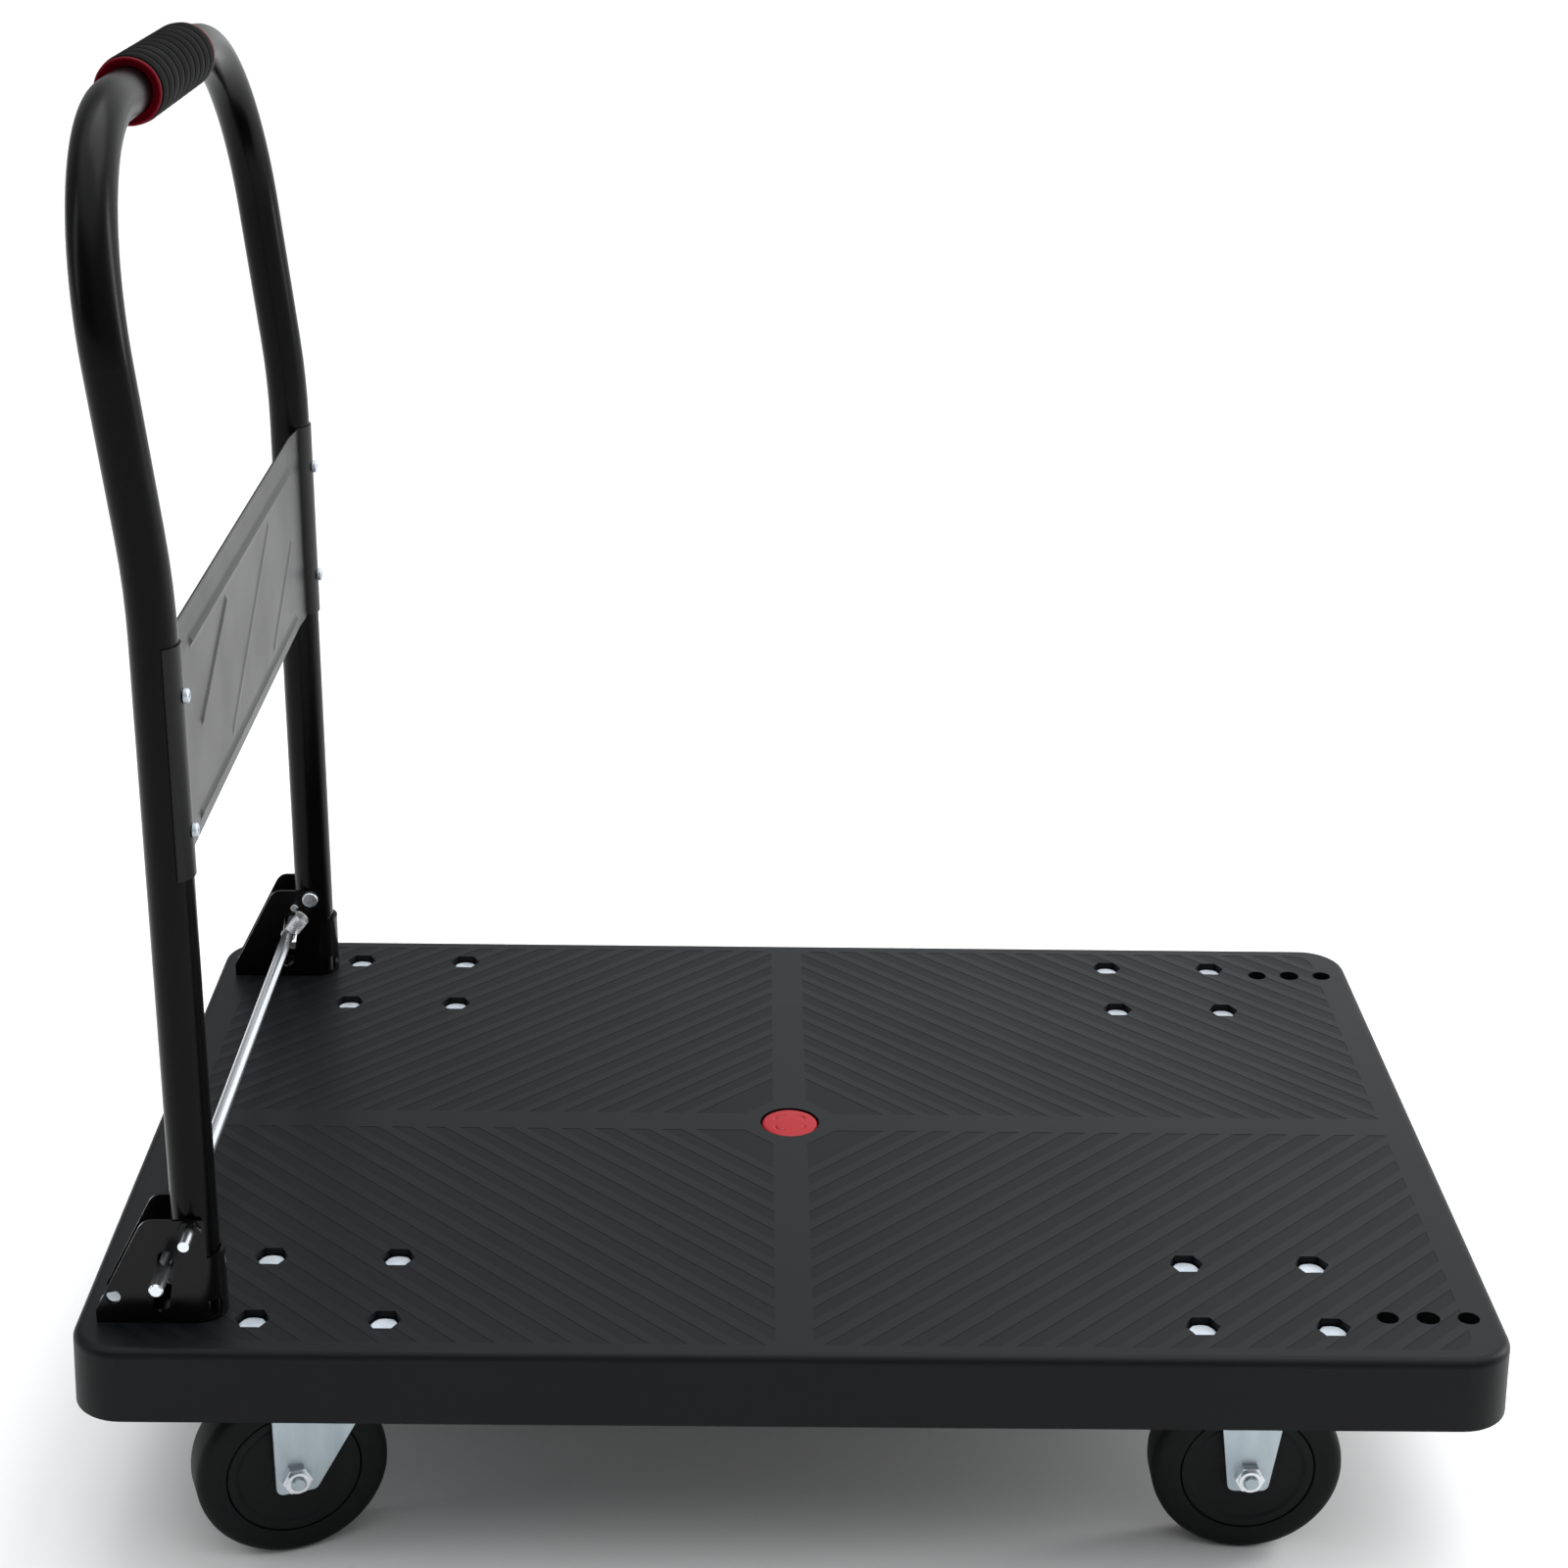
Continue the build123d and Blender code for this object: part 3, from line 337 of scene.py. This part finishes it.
slotMaterials = {
    "deck_plastic": deckPlastic, "cap_red": capPlastic, "bolt_zinc": boltZinc,
    "bracket_paint": bracketPaint, "tube_paint": tubePaint, "panel_paint": panelPaint,
    "grip_rubber": gripRubber, "ring_red": ringPlastic, "rod_zinc": rodZinc,
    "spring_steel": springSteel, "caster_zinc": casterZinc, "ball_steel": springSteel,
    "tyre_rubber": tyreRubber, "hub_plastic": hubPlastic,
}
for part in frame["record"]["subparts"]:
    node = frame["nodes"][part["node"]]
    for place in node.material_slots:
        place.material = slotMaterials[part["material_slot"]]


# wheels

wheel = {
    "shoulder": 0.0075,
    "wallDepth": 0.0125,  # from the tread down to the side wall's corner
    "wallRound": 0.004,
    "treadInset": 0.0008,
    "rimRadius": 0.0440,
    "rimRound": 0.0008,
    "seam": 0.0007,
    "faceInset": 0.0004,
    "lip": 0.006,
    "dish": 0.0012,
    "dishOuter": 0.0085,  # inside the rim
    "dishInner": 0.005,  # outside the boss
    "dishRound": 0.002,
    "bossRadius": 0.0135,
    "bossHalf": 0.0184,
    "bossCollar": 0.003,
    "bossCollarRound": 0.001,
    "bossFootRound": 0.0004,
    "bossTaper": 0.0006,
    "bossTipRound": 0.0005,
    "bore": 0.00706,
    "boreRound": 0.0003,
    "steps": 128,
}


def mirroredProfile(half):
    # the list runs up one face; its mirror image runs back down the other
    return roundedPath(half + [(-along, radius, fillet) for along, radius, fillet in reversed(half)])


def wheelPiece(name, profile, centre, axis, material):
    grid = turnedGrid(profile, wheel["steps"])
    turn = np.array(Vector((0, 1, 0)).rotation_difference(Vector(axis)).to_matrix())
    placed = grid @ turn.T + np.array(centre)
    return gridPiece(name, placed, material, closeRows=True, closeColumns=True, degrees=28)


def makeWheel(spot):
    joint = joints["wheel_spin_" + spot]
    low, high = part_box("tyre_" + spot)
    outer = (high.z - low.z) / 2
    half, inner, boss = wheelHalfWidth, wheel["rimRadius"], wheel["bossRadius"]
    tyreProfile = mirroredProfile([
        (-half, inner, wheel["rimRound"]),
        (-half, outer - wheel["wallDepth"], wheel["wallRound"]),
        (-half + wheel["treadInset"], outer, wheel["shoulder"]),
    ])
    face = -half + wheel["faceInset"]
    dish = face + wheel["dish"]
    hubProfile = mirroredProfile([
        (-wheel["bossHalf"], wheel["bore"], wheel["boreRound"]),
        (-wheel["bossHalf"], boss - wheel["bossTaper"], wheel["bossTipRound"]),
        (face, boss, wheel["bossFootRound"]),
        (face, boss + wheel["bossCollar"], wheel["bossCollarRound"]),
        (dish, boss + wheel["dishInner"], wheel["dishRound"]),
        (dish, inner - wheel["dishOuter"], wheel["dishRound"]),
        (face, inner - wheel["lip"], wheel["dishRound"]),
        (face, inner - wheel["seam"], wheel["rimRound"]),
    ])
    tyre = wheelPiece("tyreSkin_" + spot, tyreProfile, joint["pos_m"], joint["axis"], tyreRubber)
    hub = wheelPiece("hubSkin_" + spot, hubProfile, joint["pos_m"], joint["axis"], hubPlastic)
    for piece, node, slot in ((tyre, "tyre_", "tyre_rubber"), (hub, "wheel_hub_", "hub_plastic")):
        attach(piece, "wheel_" + spot)
        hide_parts(node + spot)


frontLow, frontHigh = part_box("tyre_front_left")
wheelHalfWidth = (frontHigh.y - frontLow.y) / 2
for spot in ("front_left", "front_right", "rear_left", "rear_right"):
    makeWheel(spot)
print("wheels")


# grip and its end rings

grip = {
    "grooves": 9,
    "grooveDepth": 0.0013,
    "grooveHalf": 0.0008,
    "swell": 0.0002,
    "endRound": 0.0016,
    "bore": 0.01445,
    "samples": 520,
    "steps": 96,
}


def makeGrip():
    # radius along the bar = outer radius, less a narrow dip at each groove and a rounded fall at both ends
    low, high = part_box("handle_grip")
    half, outer = (high.y - low.y) / 2, (high.z - low.z) / 2
    along = np.linspace(-half, half, grip["samples"])
    pitch = 2 * half / (grip["grooves"] + 1)
    fromGroove = (along + half + pitch / 2) % pitch - pitch / 2
    isEnd = np.abs(along) > half - pitch / 2
    dip = np.where(isEnd, 0, grip["grooveDepth"] * np.exp(-(fromGroove / grip["grooveHalf"]) ** 2))
    swell = grip["swell"] * np.cos(2 * pi * fromGroove / pitch)
    nearEnd = np.clip(1 - (half - np.abs(along)) / grip["endRound"], 0, 1)
    fall = grip["endRound"] * (1 - np.sqrt(1 - nearEnd ** 2))
    radius = outer - grip["swell"] - swell - dip - fall
    inside = [[half, grip["bore"]], [-half, grip["bore"]]]
    profile = np.concatenate([np.stack([along, radius], -1), inside])
    grid = turnedGrid(profile, grip["steps"]) + np.array((low + high) / 2)
    piece = gridPiece("gripSleeve", grid, gripRubber, closeRows=True, closeColumns=True, degrees=50)
    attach(piece, "handle")
    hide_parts("handle_grip")


endRing = {
    "step": 0.0006,
    "stepRound": 0.0003,
    "shoulderAt": 0.75,  # share of the ring's length
    "shoulderRound": 0.0010,
    "tipDrop": 0.0013,
    "tipRound": 0.0008,
    "mouthAt": 0.45,
    "mouthRise": 0.0019,
    "mouthRound": 0.0010,
    "boreAt": 0.25,
    "boreRound": 0.0002,
}


def makeEndRings():
    low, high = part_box("grip_end_rings")
    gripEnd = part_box("handle_grip")[1].y
    outer = (high.z - low.z) / 2
    length = high.y - gripEnd
    profile = roundedPath([
        (0, grip["bore"], 0),
        (0, outer - endRing["step"], endRing["stepRound"]),
        (length * endRing["shoulderAt"], outer, endRing["shoulderRound"]),
        (length, outer - endRing["tipDrop"], endRing["tipRound"]),
        (length * endRing["mouthAt"], grip["bore"] + endRing["mouthRise"], endRing["mouthRound"]),
        (length * endRing["boreAt"], grip["bore"], endRing["boreRound"]),
    ])
    centre = np.array(((low.x + high.x) / 2, 0, (low.z + high.z) / 2))
    for side, name in ((1, "left"), (-1, "right")):
        placed = profile * np.array([side, 1]) + np.array([side * gripEnd, 0])
        grid = turnedGrid(placed, grip["steps"]) + centre
        piece = gridPiece("endRing_" + name, grid, ringPlastic,
                          closeRows=True, closeColumns=True, degrees=40)
        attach(piece, "handle")
        if side > 0:
            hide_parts("grip_end_rings")


makeGrip()
makeEndRings()
print("grip")


# pressed panel between the posts

panel = {
    "thickness": 0.0012,
    "wrapRadius": 0.0150,
    "wrapTurn": 62.0,
    "wrapPoints": 26,
    "ribHeight": 0.0016,
    "ribHalf": 0.0042,
    "bandLean": 0.0022,
    "upperRib": 0.0200,  # below the top edge
    "lowerRib": 0.0130,  # above the bottom edge
    "ribInset": 0.062,  # from the post
    # slanting ribs: (y, level, height above it) at each end, then the share of the full height
    "slants": [
        ((-0.073, "upper", -0.012), (-0.168, "middle", -0.002), 0.9),
        ((0.093, "upper", -0.012), (-0.073, "lower", 0.011), 0.45),
        ((0.182, "middle", 0.004), (0.092, "lower", 0.011), 0.5),
    ],
    "lowLean": 0.6,  # share of the top band's lean
    "flatInset": 0.020,
    "flatFade": 0.02,
    "hem": 0.0011,
    "across": 300,
    "rows": 78,
}


def panelPath(postX, postY, flatX):
    # plan view: an arc round one post, a straight run, and an arc round the other post
    radius = panel["wrapRadius"]
    meet = np.arccos((flatX - postX) / radius)
    arc = np.linspace(radians(panel["wrapTurn"]), -meet, panel["wrapPoints"])
    left = np.stack([postX + radius * np.cos(arc), postY + radius * np.sin(arc)], -1)
    straightY = np.linspace(left[-1, 1], -left[-1, 1], panel["across"])[1:-1]
    straight = np.stack([np.full_like(straightY, flatX), straightY], -1)
    right = (left * np.array([1, -1]))[::-1]
    path = np.concatenate([left, straight, right])
    step = np.gradient(path, axis=0)
    step /= np.linalg.norm(step, axis=1)[:, None]
    normal = np.stack([-step[:, 1], step[:, 0]], -1)
    return path, normal


def ridge(y, z, start, end, lift):
    # height of a soft ridge along a line: a raised cosine of the distance from it
    start, end = np.array(start), np.array(end)
    run = end - start
    along = (y - start[0]) * run[0] + (z - start[1]) * run[1]
    share = np.clip(along / (run @ run), 0, 1)
    distance = np.hypot(y - start[0] - share * run[0], z - start[1] - share * run[1])
    fade = 0.5 + 0.5 * np.cos(pi * np.clip(distance / panel["ribHalf"], 0, 1))
    return lift * panel["ribHeight"] * fade


def makePanel():
    low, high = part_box("handle_panel")
    postX = joints["handle_fold"]["pos_m"][0]
    halfSheet = panel["thickness"] / 2
    postY = high.y - (panel["wrapRadius"] + halfSheet) * sin(radians(panel["wrapTurn"]))
    flatX = low.x + halfSheet
    path, normal = panelPath(postX, postY, flatX)
    y = path[:, 1][:, None]
    z = np.linspace(low.z, high.z, panel["rows"])[None, :]
    upper, lower = high.z - panel["upperRib"], low.z + panel["lowerRib"]
    level = {"upper": upper, "middle": (upper + lower) / 2, "lower": lower}
    reach = postY - panel["ribInset"]
    ribs = [((-reach, upper), (reach, upper), 1.0), ((-reach, lower), (reach, lower), 1.0)]
    for (startY, startLevel, startRise), (endY, endLevel, endRise), lift in panel["slants"]:
        start = (startY, level[startLevel] + startRise)
        ribs.append((start, (endY, level[endLevel] + endRise), lift))
    relief = np.zeros(np.broadcast_shapes(y.shape, z.shape))
    for start, end, lift in ribs:
        relief = np.maximum(relief, ridge(y, z, start, end, lift))
    bandTop = np.clip((z - upper) / (high.z - upper), 0, 1)
    bandLow = np.clip((lower - z) / (lower - low.z), 0, 1)
    flatShare = np.clip((postY - panel["flatInset"] - np.abs(y)) / panel["flatFade"], 0, 1)
    lean = panel["bandLean"] * (bandTop + panel["lowLean"] * bandLow)
    relief = relief * flatShare - lean * flatShare
    nearTop = np.clip((z - (high.z - 2 * panel["hem"])) / (2 * panel["hem"]), 0, 1)
    spread = halfSheet + (panel["hem"] - halfSheet) * np.sin(pi * nearTop) * flatShare
    sides = []
    for sign in (1, -1):
        offset = relief + sign * spread
        x = path[:, 0][:, None] + normal[:, 0][:, None] * offset
        yy = y + normal[:, 1][:, None] * offset
        sides.append(np.stack([x, yy, np.broadcast_to(z, x.shape)], -1))
    grid = np.concatenate([sides[0], sides[1][:, ::-1]], 1)
    piece = gridPiece("pressedPanel", grid, panelPaint, closeColumns=True, degrees=35)
    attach(piece, "handle")
    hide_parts("handle_panel")


makePanel()
print("panel")


# round cap in the middle of the deck

cap = {
    "shrink": 0.0004,
    "edge": 0.0016,
    "dome": 0.0005,
    "arcs": 4,
    "arcRadius": 0.0105,
    "arcHalf": 0.0008,
    "arcDepth": 0.0007,
    "arcSpread": 28.0,
    "arcFade": 8,
    "arcBow": 0.0022,
    "stemRadius": 0.0058,
    "discDepth": 0.0055,
    "rings": 64,
    "rimSteps": 8,
    "steps": 144,
}


def makeCap():
    # height = a shallow dome, less four curved grooves, with a rounded rim
    low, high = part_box("centre_cap")
    radius = (high.x - low.x) / 2 - cap["shrink"]
    angle = np.linspace(0, 2 * pi, cap["steps"], endpoint=False)[None, :]
    top = np.linspace(0, radius - cap["edge"], cap["rings"])[:, None]
    fromArc = np.abs((angle * cap["arcs"] / (2 * pi)) % 1 - 0.5) * 360 / cap["arcs"]
    window = np.clip((cap["arcSpread"] - fromArc) / cap["arcFade"], 0, 1)
    bowed = cap["arcRadius"] + cap["arcBow"] * (1 - (fromArc / cap["arcSpread"]) ** 2)
    groove = cap["arcDepth"] * np.exp(-((top - bowed) / cap["arcHalf"]) ** 2) * window
    height = -cap["dome"] * (top / radius) ** 2 - groove
    turn = np.linspace(0, pi / 2, cap["rimSteps"])[1:, None]
    rimRadius = radius - cap["edge"] + cap["edge"] * np.sin(turn)
    rimHeight = -cap["dome"] - cap["edge"] * (1 - np.cos(turn))
    skirtRadius = np.array([radius, cap["stemRadius"], cap["stemRadius"], 0])[:, None]
    stemEnd = low.z - high.z
    skirtHeight = np.array([-cap["discDepth"], -cap["discDepth"], stemEnd, stemEnd])[:, None]
    spread = np.ones_like(angle)
    r = np.concatenate([top * spread, rimRadius * spread, skirtRadius * spread])
    z = np.concatenate([height, rimHeight * spread, skirtHeight * spread])
    grid = np.stack([r * np.cos(angle), r * np.sin(angle), high.z + z], -1)
    piece = gridPiece("centreCap", grid, capPlastic, closeColumns=True, degrees=35)
    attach(piece, "base")
    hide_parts("centre_cap")


makeCap()
print("cap")


# latch springs

spring = {
    "wire": 0.00095,
    "outer": 0.0130,
    "turns": 9,
    "startGap": 0.0057,
    "loopGap": 0.0003,
    "pitchGap": 0.0006,
    "aimBack": 0.001,  # the coil aims at a point behind and below the pivot
    "aimDown": 0.005,
    "eyeTurn": 1.75,  # in half turns
    "hookTurn": 1.6,
    "eyeSteps": 40,
    "leadSteps": 10,
    "coilSteps": 24,  # in each turn
    "bridgeSteps": 8,
    "hookSteps": 30,
    "smoothings": 3,
}


def makeSpring(side):
    # path: a loop round the rod, a coil climbing towards the pivot, then a hook round the post
    low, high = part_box("latch_spring_" + side)
    rodLow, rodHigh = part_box("latch_rod")
    postLow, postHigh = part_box("spring_posts")
    y = (low.y + high.y) / 2
    rod = np.array([(rodLow.x + rodHigh.x) / 2, y, (rodLow.z + rodHigh.z) / 2])
    post = np.array([(postLow.x + postHigh.x) / 2, y, (postLow.z + postHigh.z) / 2])
    pivot = np.array(joints["handle_fold"]["pos_m"])
    up = np.array([pivot[0] - spring["aimBack"], y, pivot[2] - spring["aimDown"]]) - rod
    up /= np.linalg.norm(up)
    out = np.array([0, 1.0, 0])
    ahead = np.cross(out, up)
    wire, turns = spring["wire"], spring["turns"]
    mean = (spring["outer"] - wire) / 2
    loop = (rodHigh.z - rodLow.z) / 2 + spring["loopGap"] + wire / 2
    eye = np.linspace(-spring["eyeTurn"] * pi, 0, spring["eyeSteps"])[:, None]
    eyePath = rod + loop * (np.cos(eye) * up + np.sin(eye) * ahead)
    share = np.linspace(0, 1, spring["leadSteps"])[1:-1, None]
    angle = pi * share
    climb = loop + (spring["startGap"] - loop) * share
    sideways = np.cos(angle) * ahead + np.sin(angle) * out
    leadPath = rod + up * climb + mean * np.sin(share * pi / 2) * sideways
    angle = np.linspace(pi, pi + 2 * pi * turns, turns * spring["coilSteps"])[:, None]
    climb = spring["startGap"] + (angle - pi) / (2 * pi) * (wire + spring["pitchGap"])
    coilPath = rod + up * climb + mean * (np.cos(angle) * ahead + np.sin(angle) * out)
    hookRadius = (postHigh.z - postLow.z) / 2 + spring["loopGap"] + wire / 2
    hook = np.linspace(0, spring["hookTurn"] * pi, spring["hookSteps"])[:, None]
    towards = coilPath[-1] - post
    towards[1] = 0
    towards /= np.linalg.norm(towards)
    beside = np.cross(out, towards)
    hookPath = post + hookRadius * (np.cos(hook) * towards + np.sin(hook) * beside)
    share = np.linspace(0, 1, spring["bridgeSteps"])[1:-1, None]
    bridge = coilPath[-1] + (hookPath[0] - coilPath[-1]) * share
    path = np.concatenate([eyePath, leadPath, coilPath, bridge, hookPath])
    for _ in range(spring["smoothings"]):
        path[1:-1] = (path[:-2] + 2 * path[1:-1] + path[2:]) / 4
    grid = wireGrid(path, wire / 2)
    piece = gridPiece("latchSpring_" + side, grid, springSteel, closeColumns=True, degrees=60)
    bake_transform(piece)
    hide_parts("latch_spring_" + side)


for side in ("left", "right"):
    makeSpring(side)
print("springs")


# pressed steel with softened edges

softened = {
    "edge": 0.0005,
    "segments": 2,
    "limit": 38.0,
    "merge": 2e-6,
    "flat": 0.4,  # degrees, joins faces that are almost level
    "smooth": 30,
}


def softenEdges(node, name, body, slot):
    mesh = frame["nodes"][node].data.copy()
    mesh.materials.clear()
    mesh.materials.append(slotMaterials[slot])
    work = bmesh.new()
    work.from_mesh(mesh)
    bmesh.ops.remove_doubles(work, verts=work.verts, dist=softened["merge"])
    bmesh.ops.dissolve_limit(work, angle_limit=radians(softened["flat"]),
                             verts=work.verts, edges=work.edges)
    work.to_mesh(mesh)
    work.free()
    mesh.name = name
    smoothByAngle(mesh, softened["smooth"])
    piece = bpy.data.objects.new(name, mesh)
    bpy.context.scene.collection.objects.link(piece)
    bevel = piece.modifiers.new("softEdges", "BEVEL")
    bevel.width = softened["edge"]
    bevel.segments = softened["segments"]
    bevel.limit_method = "ANGLE"
    bevel.angle_limit = radians(softened["limit"])
    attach(piece, body)
    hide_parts(node)


for side in ("left", "right"):
    softenEdges("handle_bracket_" + side, "bracketSkin_" + side, "base", "bracket_paint")
    softenEdges("fixed_fork_front_" + side, "fixedForkSkin_" + side, "base", "caster_zinc")
    softenEdges("swivel_fork_rear_" + side, "swivelForkSkin_" + side, "swivel_rear_" + side, "caster_zinc")
print("softened steel")


# camera

view = {
    "lens": 64.15,
    "sensor": 36.0,
    "place": (-0.03363, -1.76963, 0.96502),  # from the middle of the deck's top
    "yaw": -0.830,
    "down": 21.706,
    "roll": -0.916,
}


def makeCamera():
    yaw, down, roll = radians(view["yaw"]), radians(view["down"]), radians(view["roll"])
    turn = np.array([[cos(yaw), -sin(yaw), 0], [sin(yaw), cos(yaw), 0], [0, 0, 1]])
    tilt = np.array([[1, 0, 0], [0, cos(down), sin(down)], [0, -sin(down), cos(down)]])
    lean = np.array([[cos(roll), 0, sin(roll)], [0, 1, 0], [-sin(roll), 0, cos(roll)]])
    right, forward, up = (turn @ tilt @ lean).T
    matrix = Matrix.Identity(4)
    for column, axis in enumerate((right, up, -forward)):
        for row in range(3):
            matrix[row][column] = axis[row]
    matrix.translation = Vector(view["place"]) + Vector((0, 0, deckTop))
    data = bpy.data.cameras.new("camera")
    data.lens = view["lens"]
    data.sensor_width = view["sensor"]
    camera = bpy.data.objects.new("camera", data)
    camera.matrix_world = matrix
    bpy.context.scene.collection.objects.link(camera)
    bpy.context.scene.camera = camera


makeCamera()
print("camera")


# light and floor

studio = {
    "strength": 1.25,
    "tint": (0.98, 0.99, 1.0),
    # along each world axis: from, to, level at from and level at to
    "sideways": (-0.34, 0.34, 0.3, 1.12),
    "backwards": (-0.5, 0.5, 0.3, 1.0),
    "upwards": (0.6, 0.9, 0.0, 1.7),
    # place, aim, size and watts
    "lights": {
        "overhead": ((0.3, 0.7, 3.4), (0, 0, 0.2), (2.4, 1.8), 36),
        "rightStrip": ((3.0, 0.8, 1.6), (0, 0, 0.5), (0.7, 2.2), 55),
        "leftStrip": ((-2.8, -0.8, 1.9), (0, 0, 0.5), (0.5, 2.0), 12),
    },
    "floorSize": 80.0,
    "floorDark": (0.88, 0.88, 0.88),
    "floorLight": (0.9, 0.9, 0.9),
    "floorRoughness": 0.9,
    "floorSpecular": 0.1,
}


def softBox(name, place, aim, size, power):
    data = bpy.data.lights.new(name, "AREA")
    data.shape = "RECTANGLE"
    data.size, data.size_y = size
    data.energy = power
    light = bpy.data.objects.new(name, data)
    light.location = place
    light.rotation_euler = (Vector(aim) - Vector(place)).to_track_quat("-Z", "Y").to_euler()
    bpy.context.scene.collection.objects.link(light)


def worldRamp(nodes, links, source, low, high, dim, bright):
    ramp = nodes.new("ShaderNodeMapRange")
    ramp.interpolation_type = "SMOOTHSTEP"
    for socket, value in (("From Min", low), ("From Max", high), ("To Min", dim), ("To Max", bright)):
        ramp.inputs[socket].default_value = value
    links.new(source, ramp.inputs["Value"])
    return ramp.outputs["Result"]


def multiply(nodes, links, first, second):
    node = nodes.new("ShaderNodeMath")
    node.operation = "MULTIPLY"
    links.new(first, node.inputs[0])
    links.new(second, node.inputs[1])
    return node.outputs["Value"]


def makeStudio():
    # a soft dome: brightest overhead, fading towards the left and towards the front
    world = bpy.data.worlds.new("studio")
    world.use_nodes = True
    nodes, links = world.node_tree.nodes, world.node_tree.links
    place = nodes.new("ShaderNodeTexCoord")
    split = nodes.new("ShaderNodeSeparateXYZ")
    links.new(place.outputs["Generated"], split.inputs["Vector"])
    sideways = worldRamp(nodes, links, split.outputs["X"], *studio["sideways"])
    backwards = worldRamp(nodes, links, split.outputs["Y"], *studio["backwards"])
    upwards = worldRamp(nodes, links, split.outputs["Z"], *studio["upwards"])
    level = multiply(nodes, links, sideways, backwards)
    top = nodes.new("ShaderNodeMath")
    top.operation = "MAXIMUM"
    links.new(level, top.inputs[0])
    links.new(upwards, top.inputs[1])
    strength = nodes.new("ShaderNodeMath")
    strength.operation = "MULTIPLY"
    strength.inputs[1].default_value = studio["strength"]
    links.new(top.outputs["Value"], strength.inputs[0])
    links.new(strength.outputs["Value"], nodes["Background"].inputs["Strength"])
    nodes["Background"].inputs["Color"].default_value = (*studio["tint"], 1)
    bpy.context.scene.world = world
    for name, (source, aim, size, power) in studio["lights"].items():
        softBox(name, source, aim, size, power)
    half = studio["floorSize"] / 2
    mesh = bpy.data.meshes.new("floor")
    corners = [(-half, -half, 0), (half, -half, 0), (half, half, 0), (-half, half, 0)]
    mesh.from_pydata(corners, [], [(0, 1, 2, 3)])
    floorPaint, floorShader = newMaterial("floorPaint", studio["floorLight"], studio["floorRoughness"],
                                          specular=studio["floorSpecular"])
    patches = addNoise(floorPaint, scale=2.0)
    varyColour(floorPaint, floorShader, patches, studio["floorDark"], studio["floorLight"])
    mesh.materials.append(floorPaint)
    floor = bpy.data.objects.new("floor", mesh)
    bpy.context.scene.collection.objects.link(floor)


makeStudio()
print("light and floor")
